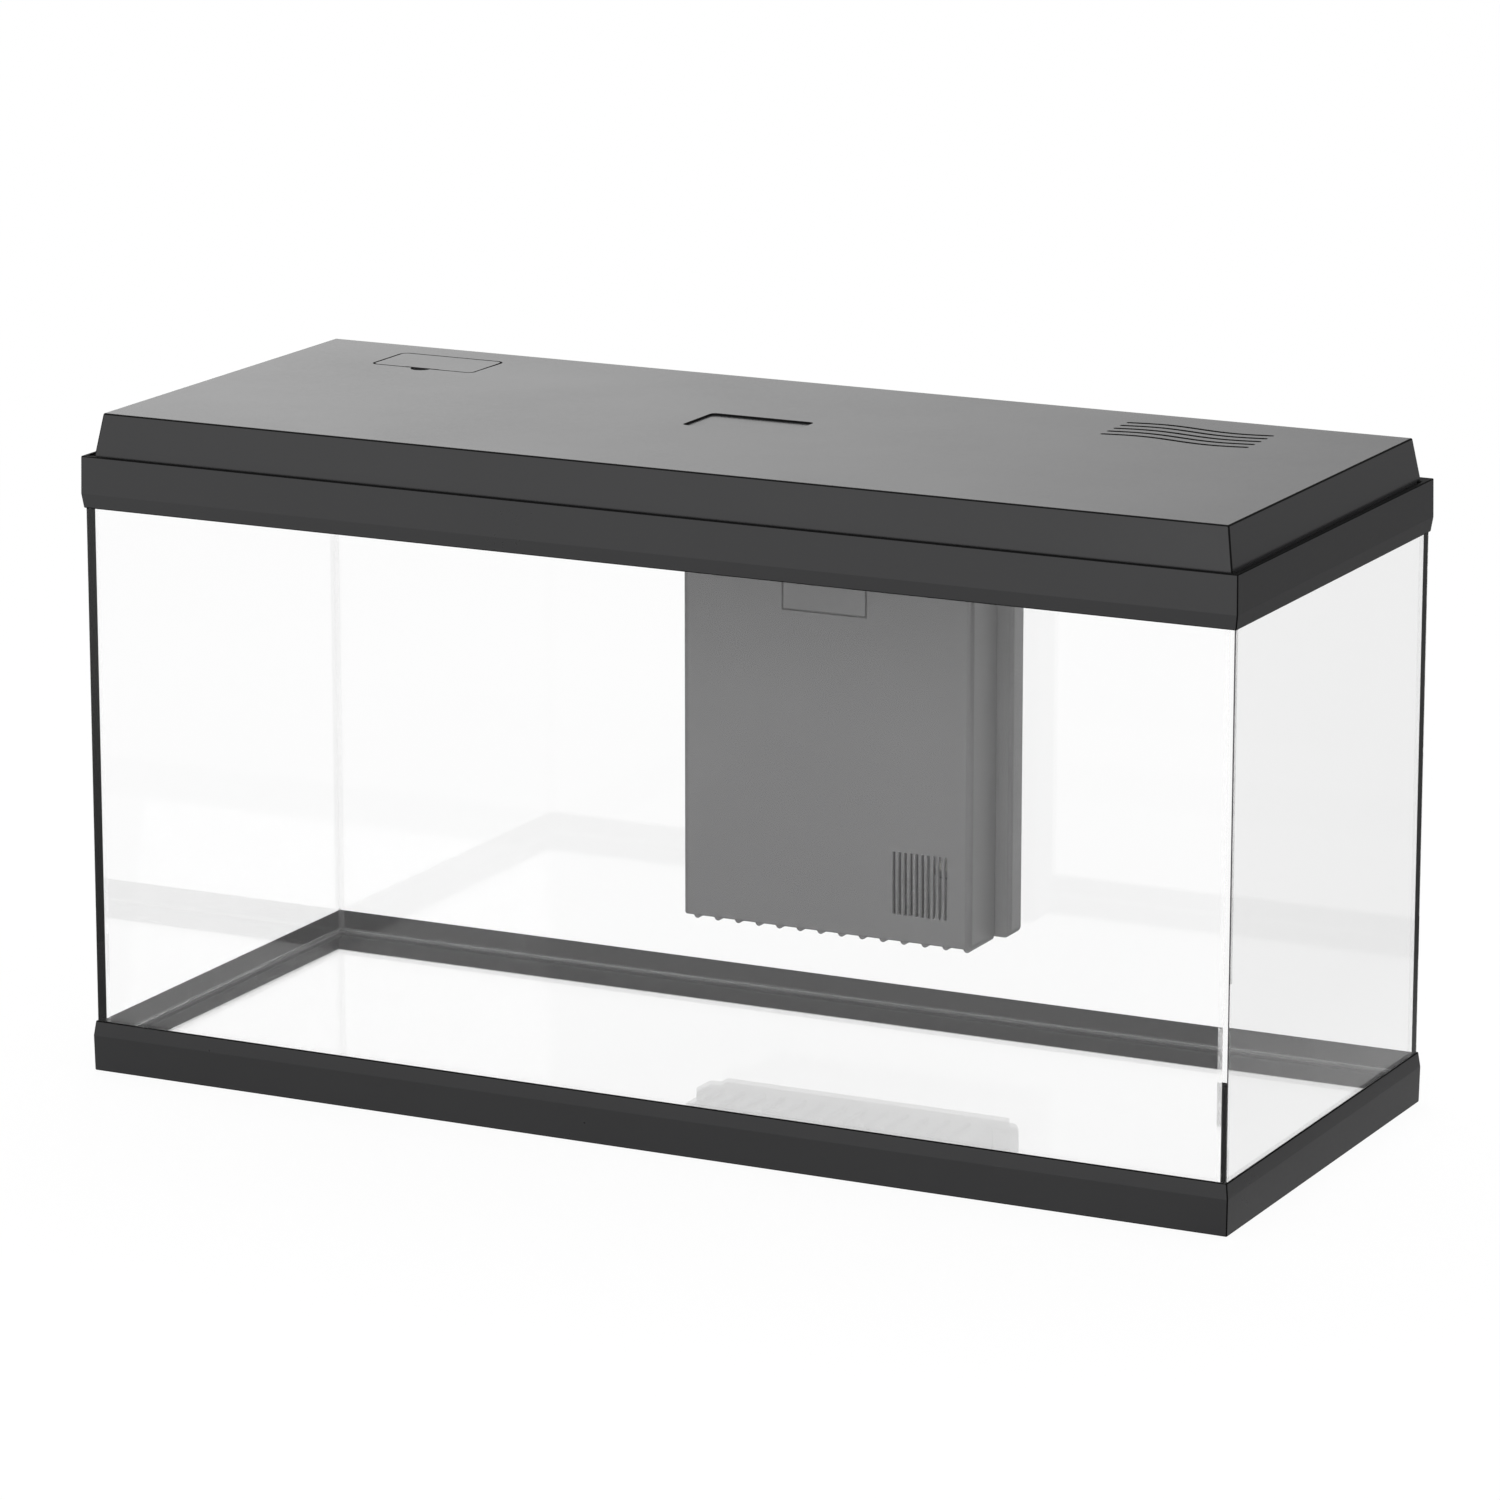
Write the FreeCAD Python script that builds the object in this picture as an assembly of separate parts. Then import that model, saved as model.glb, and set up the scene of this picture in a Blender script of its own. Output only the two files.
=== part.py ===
import FreeCAD, Part
import math
import os

from FreeCAD import Vector

# Framed glass aquarium with a hinged hood, a light in the hood and a box filter
# on the rear glass. Millimetres. +X is right, +Y is back, +Z is up, and the origin
# is the centre of the footprint on the ground.

# ---- Outline ----
TANK_LENGTH = 800.0
TANK_DEPTH = 320.0
TANK_HEIGHT = 408.5
HOOD_RISE = 26.7

# ---- Fits ----
SEAT_CLEARANCE = 0.3
PIN_CLEARANCE = 0.05
CUT_OVERSHOOT = 10.0

# ---- Glass and silicone ----
WALL_GLASS = 5.0
FLOOR_GLASS = 6.0
SEAL_LEG = 3.0

# ---- Base frame and top rim ----
FRAME_WALL = 2.25
FRAME_DRAFT = 0.4
FRAME_BEVEL = 1.25
BASE_HEIGHT = 33.4
BASE_RIDGE_Z = 23.6
BASE_LEDGE_Z = 13.0
BASE_LEDGE_THICKNESS = 2.5
BASE_LEDGE_REACH = 10.0
RIM_HEIGHT = 34.1
RIM_RIDGE_DROP = 24.6
LIP_THICKNESS = 2.8
SEAT_DROP = 5.0
LEDGE_DROP = 1.2
LEDGE_GAP = 0.5
WEB_THICKNESS = 3.0
WEB_REACH = 15.0
TONGUE_THICKNESS = 1.5
TONGUE_DEPTH = 12.0
SHELF_DEPTH = 13.0

# ---- Hood ----
HOOD_WALL = 2.2
HOOD_FOOT_INSET = 6.0
HOOD_TOP_INSET = 11.2
HEEL_GAP = 0.5
CABLE_NOTCH_INSET = 250.0
CABLE_NOTCH_WIDTH = 26.0
CABLE_NOTCH_HEIGHT = 8.5

# ---- Hood hinges ----
HINGE_END_INSET = 150.0
HINGE_INSET = 3.8
HINGE_RISE = 4.5
KNUCKLE_RADIUS = 3.2
KNUCKLE_LENGTH = 12.0
EAR_LENGTH = 8.0
EAR_GAP = 0.4
LUG_HEIGHT = 4.8
BRACKET_TAB = 9.0
BRACKET_STRIP = 1.0
BRACKET_DEPTH = 5.8
HINGE_PIN_RADIUS = 1.0
HINGE_SCREW_RADIUS = 1.0
HINGE_SCREW_LENGTH = 6.0
HINGE_SCREW_HEAD_RADIUS = 1.9
HINGE_SCREW_HEAD_HEIGHT = 1.2

# ---- Feeding flap ----
FLAP_LENGTH = 75.0
FLAP_DEPTH = 43.5
FLAP_SIDE_INSET = 67.9
FLAP_REAR_INSET = 26.3
FLAP_CORNER = 4.5
FLAP_GAP = 0.8
FLAP_THICKNESS = 1.9
FLAP_PIVOT_SET_BACK = 10.5
FLAP_PIVOT_DROP = 1.8
FLAP_PIVOT_RADIUS = 0.8
FLAP_PIVOT_LENGTH = 3.0
FLAP_CHEEK_LENGTH = 6.0
FLAP_CHEEK_WIDTH = 3.0
FLAP_CHEEK_DEPTH = 1.1
FLAP_BOSS_WIDTH = 6.0
FLAP_BOSS_DEPTH = 2.6
FLAP_LEDGE_WIDTH = 3.0
FLAP_LEDGE_THICKNESS = 1.6
FLAP_LEDGE_LENGTH = 22.0
FINGER_NOTCH_RADIUS = 6.5
PULL_EDGE_WIDTH = 24.4
PULL_EDGE_SINK = 0.7

# ---- Centre recess ----
RECESS_CENTRE_X = -5.0
RECESS_CENTRE_Y = 4.6
RECESS_LENGTH = 72.0
RECESS_DEPTH_Y = 43.2
RECESS_CORNER = 3.5
RECESS_SINK = 1.2

# ---- Wavy vent slots ----
VENT_COUNT = 5
VENT_PITCH = 10.3
VENT_LENGTH = 96.8
VENT_WIDTH = 3.0
VENT_WAVE = 3.5
VENT_SIDE_INSET = 130.4
VENT_REAR_INSET = 54.0
VENT_CURVE_STEPS = 12

# ---- Lamp under the hood ----
LAMP_END_INSET = 80.0
LAMP_WIDTH = 52.0
LAMP_HEIGHT = 11.0
LAMP_CENTRE_Y = -70.0
LAMP_WALL = 1.5
LAMP_FLANGE = 9.0
LAMP_LIP = 1.2
LAMP_BOARD_THICKNESS = 1.6
LAMP_BOARD_WIDTH = 34.0
LAMP_BOARD_MARGIN = 4.0
LAMP_LENS_THICKNESS = 2.0
LAMP_CAP_THICKNESS = 3.0
CHIP_COUNT = 24
CHIP_SIZE = 5.0
CHIP_HEIGHT = 0.8
CHIP_END_INSET = 25.0
CHIP_ROW_OFFSET = 8.5
LAMP_BOSS_HEIGHT = 4.0
LAMP_BOSS_RADIUS = 3.5
LAMP_SCREW_INSET = 40.0
LAMP_SCREW_RADIUS = 1.4
LAMP_SCREW_LENGTH = 4.5
LAMP_SCREW_HEAD_RADIUS = 2.8
LAMP_SCREW_HEAD_HEIGHT = 1.6
GLAND_RADIUS = 4.0
GLAND_BORE = 2.4
GLAND_LENGTH = 9.0

# ---- Filter box ----
FILTER_CENTRE_X = 11.35
FILTER_WIDTH = 208.7
FILTER_FLOOR_GAP = 65.2
FILTER_TOP_GAP = 2.4
FILTER_WALL = 2.2
FILTER_FRONT_DEPTH = 38.5
FILTER_BACK_DEPTH = 26.25
FILTER_FLANGE = 11.2
FILTER_FLANGE_DEPTH = 16.4
FILTER_FRONT_ROUND = 3.8
FILTER_LOW_ROUND = 2.5
FLANGE_FRONT_ROUND = 2.7
FLANGE_LOW_ROUND = 4.7
PAD_THICKNESS = 1.5
PAD_RADIUS = 9.0
PAD_INSET_X = 30.0
PAD_INSET_Z = 40.0
RIB_COUNT = 14
RIB_LEFT_INSET = 10.0
RIB_RIGHT_INSET = 2.7
RIB_RADIUS = 2.5
RIB_RISE = 0.1
RIB_MARGIN = 1.0
GRILLE_SLOTS = 10
GRILLE_PITCH = 4.13
GRILLE_SLOT_WIDTH = 2.0
GRILLE_SIDE_INSET = 36.3
GRILLE_RISE = 17.8
GRILLE_HEIGHT = 42.0

# ---- Inside the filter ----
INTAKE_WIDTH = 59.5
DIVIDER_THICKNESS = 2.0
DIVIDER_TOP_GAP = 6.0
DIVIDER_SLOTS = 5
DIVIDER_SLOT_WIDTH = 4.0
DIVIDER_SLOT_PITCH = 10.0
DIVIDER_SLOT_HEIGHT = 18.0
GRID_LEG_HEIGHT = 25.0
GRID_LEG_SIZE = 6.0
GRID_THICKNESS = 3.0
GRID_BARS = 16
GRID_SLOT_WIDTH = 4.0
FINE_SPONGE_HEIGHT = 40.0
BASKET_HEIGHT = 73.0
BASKET_WALL = 1.6
BASKET_SLOTS = 12
BASKET_SLOT_WIDTH = 3.0
RING_RADIUS = 8.0
RING_BORE = 4.5
RING_HEIGHT = 15.0
RING_GAP = 0.6
TRAY_THICKNESS = 3.0
TRAY_HOLE_RADIUS = 12.0
PUMP_ROOM = 80.7

# ---- Pump ----
MOTOR_LENGTH = 46.0
MOTOR_WIDTH = 40.0
MOTOR_HEIGHT = 42.0
MOTOR_ROUND = 5.0
MOTOR_BACK_WALL = 4.0
SHAFT_SEAT_WALL = 1.0
FOOT_RADIUS = 4.0
FOOT_HEIGHT = 3.0
FOOT_INSET = 8.0
ROTOR_RADIUS = 7.0
ROTOR_WELL_RADIUS = 8.0
ROTOR_END_GAP = 1.0
ROTOR_BORE_CLEARANCE = 0.08
VOLUTE_RADIUS = 18.0
VOLUTE_LENGTH = 22.0
CHAMBER_RADIUS = 15.0
VOLUTE_END_WALL = 3.0
BLADE_COUNT = 6
BLADE_RADIUS = 12.0
BLADE_THICKNESS = 1.4
BLADE_WIDTH = 11.0
HUB_RADIUS = 3.6
SHAFT_RADIUS = 1.25
INLET_RADIUS = 8.0
INLET_BORE = 6.0
INLET_LENGTH = 8.0
SPIDER_THICKNESS = 2.0
SPOUT_RADIUS = 6.0
SPOUT_BORE = 4.6
SPOUT_RISE = 8.0

# ---- Pump outlet ----
PANEL_WIDTH = 59.4
PANEL_SHIFT = -1.45
PANEL_HEIGHT = 74.0
PANEL_GAP = 0.7
PANEL_FLANGE = 3.0
PANEL_FLANGE_THICKNESS = 1.5
PANEL_FLANGE_DROP = 2.0
PANEL_FLANGE_TOP_GAP = 3.5
ELBOW_WALL = 1.9
ELBOW_BEND = 10.0
BALL_RADIUS = 9.0
BALL_STANDOFF = 6.0
BALL_CLEARANCE = 0.35
COLLAR_RADIUS = 12.5
COLLAR_GRIP = 3.0
NOZZLE_RADIUS = 5.5
NOZZLE_BORE = 4.2
NOZZLE_LENGTH = 22.0
NOZZLE_FLARE = 7.0
NOZZLE_FLARE_LENGTH = 10.0

# ---- Filter lid ----
LID_THICKNESS = 3.0
LID_LIP_DEPTH = 3.0
LID_LIP_THICKNESS = 1.5
LID_REAR_INSET = 1.05

# ---- Heater ----
HEATER_FLOOR_GAP = 34.0
HEATER_TOP_GAP = 6.3
HEATER_TUBE_RADIUS = 11.0
HEATER_TUBE_WALL = 1.2
HEATER_CORE_RADIUS = 6.5
HEATER_CORE_GAP = 6.0
HEATER_HEAD_RADIUS = 13.5
HEATER_HEAD_LENGTH = 44.0
HEATER_KNOB_RADIUS = 9.0
HEATER_KNOB_HEIGHT = 9.0
HEATER_KNOB_RIDGE = 2.4
HEATER_SPINDLE_RADIUS = 2.5
HEATER_SPINDLE_LENGTH = 7.0
CLIP_WALL = 2.2
CLIP_HEIGHT = 10.0
CLIP_ARM_WIDTH = 8.0
CLIP_FOOT_WIDTH = 18.0
CLIP_FOOT_THICKNESS = 2.0
CLIP_COUNT = 2
CLIP_FIRST_RISE = 30.0
CLIP_LAST_DROP = 32.0

# ---- Places that follow from the sizes above ----
HALF_X = TANK_LENGTH / 2
HALF_Y = TANK_DEPTH / 2
GLASS_X = HALF_X - FRAME_WALL
GLASS_Y = HALF_Y - FRAME_WALL
INSIDE_X = GLASS_X - WALL_GLASS
INSIDE_Y = GLASS_Y - WALL_GLASS
FLOOR_Z = BASE_LEDGE_Z + FLOOR_GLASS
SEAT_Z = TANK_HEIGHT - SEAT_DROP
WEB_Z = SEAT_Z - WEB_THICKNESS
RIM_Z = TANK_HEIGHT - RIM_HEIGHT
SHELF_Y = HALF_Y - SHELF_DEPTH

HOOD_FOOT_Z = SEAT_Z + SEAT_CLEARANCE
HOOD_TOP_Z = TANK_HEIGHT + HOOD_RISE
HOOD_CEILING_Z = HOOD_TOP_Z - HOOD_WALL
HOOD_TOP_X = HALF_X - HOOD_TOP_INSET
HOOD_TOP_Y = HALF_Y - HOOD_TOP_INSET
HINGE_SPREAD = HALF_X - HINGE_END_INSET
HINGE_Y = HALF_Y - HINGE_INSET
HINGE_Z = TANK_HEIGHT + HINGE_RISE
CABLE_NOTCH_X = HALF_X - CABLE_NOTCH_INSET

FLAP_X0 = FLAP_SIDE_INSET - HOOD_TOP_X
FLAP_X1 = FLAP_X0 + FLAP_LENGTH
FLAP_Y1 = HOOD_TOP_Y - FLAP_REAR_INSET
FLAP_Y0 = FLAP_Y1 - FLAP_DEPTH
FLAP_CENTRE_X = (FLAP_X0 + FLAP_X1) / 2
FLAP_Z = HOOD_TOP_Z - FLAP_THICKNESS
FLAP_PIVOT_Y = FLAP_Y1 - FLAP_PIVOT_SET_BACK
FLAP_PIVOT_Z = HOOD_TOP_Z - FLAP_PIVOT_DROP

VENT_CENTRE_X = HOOD_TOP_X - VENT_SIDE_INSET
VENT_CENTRE_Y = HOOD_TOP_Y - VENT_REAR_INSET

LAMP_LENGTH = TANK_LENGTH - 2 * LAMP_END_INSET
LAMP_TOP_Z = HOOD_CEILING_Z - LAMP_BOSS_HEIGHT
LAMP_BOTTOM_Z = LAMP_TOP_Z - LAMP_HEIGHT
LAMP_ROOF_Z = LAMP_TOP_Z - LAMP_WALL
LAMP_SCREW_REACH = LAMP_WIDTH / 2 + LAMP_FLANGE / 2

FILTER_X0 = FILTER_CENTRE_X - FILTER_WIDTH / 2
FILTER_X1 = FILTER_CENTRE_X + FILTER_WIDTH / 2
FILTER_BOTTOM = FLOOR_Z + FILTER_FLOOR_GAP
FILTER_TOP = RIM_Z - FILTER_TOP_GAP
FILTER_REAR_Y = INSIDE_Y - PAD_THICKNESS
FILTER_SEAM_Y = FILTER_REAR_Y - FILTER_BACK_DEPTH
FILTER_FRONT_Y = FILTER_SEAM_Y - FILTER_FRONT_DEPTH
FLANGE_REAR_Y = FILTER_SEAM_Y + FILTER_FLANGE_DEPTH
CHAMBER_X0 = FILTER_X0 + FILTER_WALL
CHAMBER_X1 = FILTER_X1 - FILTER_WALL
CHAMBER_Y0 = FILTER_FRONT_Y + FILTER_WALL
CHAMBER_Y1 = FILTER_REAR_Y - FILTER_WALL
CHAMBER_Z = FILTER_BOTTOM + FILTER_WALL

PANEL_CENTRE_X = FILTER_CENTRE_X + PANEL_SHIFT
PANEL_BOTTOM = FILTER_TOP - PANEL_HEIGHT

INTAKE_X = CHAMBER_X1 - INTAKE_WIDTH
DIVIDER_X = INTAKE_X - DIVIDER_THICKNESS
MEDIA_X0 = CHAMBER_X0 + SEAT_CLEARANCE
MEDIA_X1 = DIVIDER_X - SEAT_CLEARANCE
MEDIA_Y0 = CHAMBER_Y0 + SEAT_CLEARANCE
MEDIA_Y1 = CHAMBER_Y1 - SEAT_CLEARANCE
GRID_Z = CHAMBER_Z + GRID_LEG_HEIGHT
COARSE_Z = GRID_Z + GRID_THICKNESS + SEAT_CLEARANCE
TRAY_TOP_Z = FILTER_TOP - PUMP_ROOM
TRAY_Z = TRAY_TOP_Z - TRAY_THICKNESS
BASKET_Z = TRAY_Z - BASKET_HEIGHT
FINE_Z = BASKET_Z - SEAT_CLEARANCE - FINE_SPONGE_HEIGHT
COARSE_TOP_Z = FINE_Z - SEAT_CLEARANCE

PUMP_Y = (CHAMBER_Y0 + CHAMBER_Y1) / 2
MOTOR_Z = TRAY_TOP_Z + FOOT_HEIGHT
PUMP_Z = MOTOR_Z + MOTOR_HEIGHT / 2
VOLUTE_X = PANEL_CENTRE_X - VOLUTE_LENGTH / 2
VOLUTE_END_X = PANEL_CENTRE_X + VOLUTE_LENGTH / 2
MOTOR_X = VOLUTE_X - MOTOR_LENGTH
CHAMBER_END_X = VOLUTE_END_X - VOLUTE_END_WALL
INLET_END_X = VOLUTE_END_X + INLET_LENGTH
WELL_X = MOTOR_X + MOTOR_BACK_WALL
ROTOR_X = WELL_X + ROTOR_END_GAP
SPOUT_TOP_Z = PUMP_Z + VOLUTE_RADIUS + SPOUT_RISE
ELBOW_RADIUS = SPOUT_RADIUS + ELBOW_WALL
OUTLET_Z = SPOUT_TOP_Z + ELBOW_BEND
BALL_Y = FILTER_FRONT_Y - BALL_STANDOFF

HEATER_X = (INTAKE_X + CHAMBER_X1) / 2
HEATER_Y = (CHAMBER_Y0 + CHAMBER_Y1) / 2
HEATER_Z = CHAMBER_Z + HEATER_FLOOR_GAP
KNOB_Z = FILTER_TOP - HEATER_TOP_GAP - HEATER_KNOB_HEIGHT
HEATER_HEAD_Z = KNOB_Z - SEAT_CLEARANCE - HEATER_HEAD_LENGTH

X_AXIS = Vector(1, 0, 0)
Y_AXIS = Vector(0, 1, 0)
Z_AXIS = Vector(0, 0, 1)


# ---- Helpers ----
def block(x0, x1, y0, y1, z0, z1):
    """A box between the given planes."""
    return Part.makeBox(x1 - x0, y1 - y0, z1 - z0, Vector(x0, y0, z0))


def rod(radius, start, end):
    """A cylinder from one centre point to another."""
    along = end - start
    return Part.makeCylinder(radius, along.Length, start, along)


def joined(shapes):
    """The union of several shapes as one clean solid."""
    shapes = list(shapes)
    return shapes[0].multiFuse(shapes[1:]).removeSplitter()


def without(shape, cuts):
    """The shape with each of the cuts taken away."""
    return shape.cut(Part.makeCompound(list(cuts)))


def edges_along(shape, direction):
    """The straight edges that run along a direction."""
    found = []
    for edge in shape.Edges:
        ends = edge.Vertexes
        if len(ends) == 2:
            run = ends[1].Point - ends[0].Point
            if run.cross(direction).Length < 1e-6:
                found.append(edge)
    return found


def rounded_block(x0, x1, y0, y1, z0, z1, radius, along=Z_AXIS):
    """A box whose four edges along one direction are rounded."""
    body = block(x0, x1, y0, y1, z0, z1)
    return body.makeFillet(radius, edges_along(body, along))


def outline(inset, z):
    """The footprint's rectangle, drawn in by an inset, at one height."""
    x = HALF_X - inset
    y = HALF_Y - inset
    corners = [Vector(-x, -y, z), Vector(x, -y, z), Vector(x, y, z), Vector(-x, y, z)]
    return Part.makePolygon(corners + corners[:1])


def tapered(levels):
    """A solid through the footprint's rectangle at several insets and heights."""
    return Part.makeLoft([outline(inset, z) for inset, z in levels], True, True)


def inner_prism(half_x, half_y, z0, z1):
    """A box centred on the origin's vertical axis."""
    return block(-half_x, half_x, -half_y, half_y, z0, z1)


# ---- Glass box ----
def front_pane():
    return block(-GLASS_X, GLASS_X, -GLASS_Y, -INSIDE_Y, FLOOR_Z, WEB_Z)


def rear_pane():
    return block(-GLASS_X, GLASS_X, INSIDE_Y, GLASS_Y, FLOOR_Z, WEB_Z)


def left_pane():
    return block(-GLASS_X, -INSIDE_X, -INSIDE_Y, INSIDE_Y, FLOOR_Z, WEB_Z)


def right_pane():
    return block(INSIDE_X, GLASS_X, -INSIDE_Y, INSIDE_Y, FLOOR_Z, WEB_Z)


def floor_pane():
    return inner_prism(GLASS_X, GLASS_Y, BASE_LEDGE_Z, FLOOR_Z)


def corner_seals():
    """A bead of silicone up each inside corner."""
    bottom = FLOOR_Z + SEAL_LEG
    top = WEB_Z - TONGUE_DEPTH - SEAT_CLEARANCE
    beads = []
    for side in (-1, 1):
        for end in (-1, 1):
            corner = Vector(side * INSIDE_X, end * INSIDE_Y, bottom)
            along_x = corner - Vector(side * SEAL_LEG, 0, 0)
            along_y = corner - Vector(0, end * SEAL_LEG, 0)
            face = Part.Face(Part.makePolygon([corner, along_x, along_y, corner]))
            beads.append(face.extrude(Vector(0, 0, top - bottom)))
    return Part.makeCompound(beads)


def floor_seal():
    """A bead of silicone round the inside of the floor."""
    ring = inner_prism(INSIDE_X, INSIDE_Y, FLOOR_Z, FLOOR_Z + SEAL_LEG)
    wall_inset = FRAME_WALL + WALL_GLASS
    hollow = tapered([(wall_inset + SEAL_LEG, FLOOR_Z), (wall_inset, FLOOR_Z + SEAL_LEG)])
    return ring.cut(hollow)


# ---- Plastic frames ----
def base_frame():
    """Skirt to the ground, with a ledge that the floor glass lies on."""
    skirt = tapered([(FRAME_DRAFT, 0), (0, BASE_RIDGE_Z), (FRAME_BEVEL, BASE_HEIGHT)])
    pocket = inner_prism(GLASS_X, GLASS_Y, BASE_LEDGE_Z, BASE_HEIGHT)
    underside = inner_prism(GLASS_X, GLASS_Y, 0, BASE_LEDGE_Z - BASE_LEDGE_THICKNESS)
    window_x = HALF_X - BASE_LEDGE_REACH
    window_y = HALF_Y - BASE_LEDGE_REACH
    window = inner_prism(window_x, window_y, 0, BASE_LEDGE_Z)
    return without(skirt, [pocket, underside, window])


def top_rim():
    """Rim over the glass, with a lip, a ledge, a seat for the hood and a shelf at the back."""
    ridge_z = TANK_HEIGHT - RIM_RIDGE_DROP
    band = tapered([(FRAME_BEVEL, RIM_Z), (0, ridge_z), (FRAME_DRAFT, TANK_HEIGHT)])
    pocket = inner_prism(GLASS_X, GLASS_Y, RIM_Z, WEB_Z)
    lip_x = HALF_X - LIP_THICKNESS
    lip_y = HALF_Y - LIP_THICKNESS
    ledge_z = TANK_HEIGHT - LEDGE_DROP
    recess = block(-lip_x, lip_x, -lip_y, SHELF_Y, ledge_z, TANK_HEIGHT)
    seat_x = HALF_X - HOOD_FOOT_INSET + LEDGE_GAP
    seat_y = HALF_Y - HOOD_FOOT_INSET + LEDGE_GAP
    seat = block(-seat_x, seat_x, -seat_y, SHELF_Y, SEAT_Z, ledge_z)
    mouth_x = HALF_X - WEB_REACH
    mouth_y = HALF_Y - WEB_REACH
    mouth = block(-mouth_x, mouth_x, -mouth_y, SHELF_Y, WEB_Z, SEAT_Z)
    shell = without(band, [pocket, recess, seat, mouth])
    tongue_z = WEB_Z - TONGUE_DEPTH
    outer_x = INSIDE_X - SEAT_CLEARANCE
    outer_y = INSIDE_Y - SEAT_CLEARANCE
    tongue = inner_prism(outer_x, outer_y, tongue_z, WEB_Z)
    inner_x = outer_x - TONGUE_THICKNESS
    inner_y = outer_y - TONGUE_THICKNESS
    tongue = tongue.cut(inner_prism(inner_x, inner_y, tongue_z, WEB_Z))
    return without(joined([shell, tongue]), hinge_screw_holes())


# ---- Hood hinges ----
def hinge_screw_places():
    """Screw centres on the shelf, one at each end of each bracket."""
    reach = KNUCKLE_LENGTH / 2 + EAR_GAP + EAR_LENGTH + BRACKET_TAB / 2
    places = []
    for side in (-1, 1):
        for end in (-1, 1):
            places.append(Vector(side * HINGE_SPREAD + end * reach, HINGE_Y, TANK_HEIGHT))
    return places


def hinge_screw_holes():
    radius = HINGE_SCREW_RADIUS + PIN_CLEARANCE
    holes = []
    for place in hinge_screw_places():
        top = place + Vector(0, 0, BRACKET_STRIP)
        bottom = top - Vector(0, 0, HINGE_SCREW_LENGTH + SEAT_CLEARANCE)
        holes.append(rod(radius, bottom, top))
    return holes


def hinge_bracket(side):
    """Two ears on a strip that is screwed to the shelf."""
    centre_x = side * HINGE_SPREAD
    inner = KNUCKLE_LENGTH / 2 + EAR_GAP
    outer = inner + EAR_LENGTH
    reach = outer + BRACKET_TAB
    y1 = HINGE_Y + KNUCKLE_RADIUS
    y0 = y1 - BRACKET_DEPTH
    strip_top = TANK_HEIGHT + BRACKET_STRIP
    pieces = [block(centre_x - reach, centre_x + reach, y0, y1, TANK_HEIGHT, strip_top)]
    for end in (-1, 1):
        x0, x1 = sorted((centre_x + end * inner, centre_x + end * outer))
        pieces.append(block(x0, x1, y0, y1, TANK_HEIGHT, HINGE_Z))
        pieces.append(rod(KNUCKLE_RADIUS, Vector(x0, HINGE_Y, HINGE_Z), Vector(x1, HINGE_Y, HINGE_Z)))
    bore = hinge_rod(side, HINGE_PIN_RADIUS + PIN_CLEARANCE)
    return without(joined(pieces), [bore] + hinge_screw_holes())


def hinge_rod(side, radius):
    """A cylinder on the hinge axis, as long as one hinge."""
    reach = KNUCKLE_LENGTH / 2 + EAR_GAP + EAR_LENGTH
    centre_x = side * HINGE_SPREAD
    start = Vector(centre_x - reach, HINGE_Y, HINGE_Z)
    return rod(radius, start, start + Vector(2 * reach, 0, 0))


def hinge_bracket_left():
    return hinge_bracket(-1)


def hinge_bracket_right():
    return hinge_bracket(1)


def hinge_pin_left():
    return hinge_rod(-1, HINGE_PIN_RADIUS)


def hinge_pin_right():
    return hinge_rod(1, HINGE_PIN_RADIUS)


def hinge_screws():
    screws = []
    for place in hinge_screw_places():
        seat = place + Vector(0, 0, BRACKET_STRIP)
        head = rod(HINGE_SCREW_HEAD_RADIUS, seat, seat + Vector(0, 0, HINGE_SCREW_HEAD_HEIGHT))
        shank = rod(HINGE_SCREW_RADIUS, seat - Vector(0, 0, HINGE_SCREW_LENGTH), seat)
        screws.append(joined([head, shank]))
    return Part.makeCompound(screws)


# ---- Hood ----
def hood_tray():
    """Sloping walls and flat top, open below, cut back where it stands on the shelf."""
    outside = tapered([(HOOD_FOOT_INSET, HOOD_FOOT_Z), (HOOD_TOP_INSET, HOOD_TOP_Z)])
    foot_inset = HOOD_FOOT_INSET + HOOD_WALL
    ceiling_inset = HOOD_TOP_INSET + HOOD_WALL
    inside = tapered([(foot_inset, HOOD_FOOT_Z), (ceiling_inset, HOOD_CEILING_Z)])
    heel_z = TANK_HEIGHT + SEAT_CLEARANCE
    heel = block(-HALF_X, HALF_X, SHELF_Y - HEEL_GAP, HALF_Y, HOOD_FOOT_Z - CUT_OVERSHOOT, heel_z)
    return without(outside, [inside, heel])


def cable_notch():
    """A way out for cables under the hood's rear wall."""
    x0 = CABLE_NOTCH_X - CABLE_NOTCH_WIDTH / 2
    x1 = CABLE_NOTCH_X + CABLE_NOTCH_WIDTH / 2
    y0 = HOOD_TOP_Y - HOOD_WALL - CUT_OVERSHOOT
    z0 = TANK_HEIGHT
    z1 = z0 + SEAT_CLEARANCE + CABLE_NOTCH_HEIGHT
    return block(x0, x1, y0, HALF_Y, z0, z1)


def hood_lugs():
    """The hood's own knuckles, on lugs from its rear wall."""
    rear_y = HOOD_TOP_Y - HOOD_WALL / 2
    lugs = []
    for side in (-1, 1):
        x0 = side * HINGE_SPREAD - KNUCKLE_LENGTH / 2
        x1 = x0 + KNUCKLE_LENGTH
        z0 = HINGE_Z - LUG_HEIGHT / 2
        lug = block(x0, x1, rear_y, HINGE_Y, z0, z0 + LUG_HEIGHT)
        knuckle = rod(KNUCKLE_RADIUS, Vector(x0, HINGE_Y, HINGE_Z), Vector(x1, HINGE_Y, HINGE_Z))
        lugs += [lug, knuckle]
    return lugs


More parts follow.
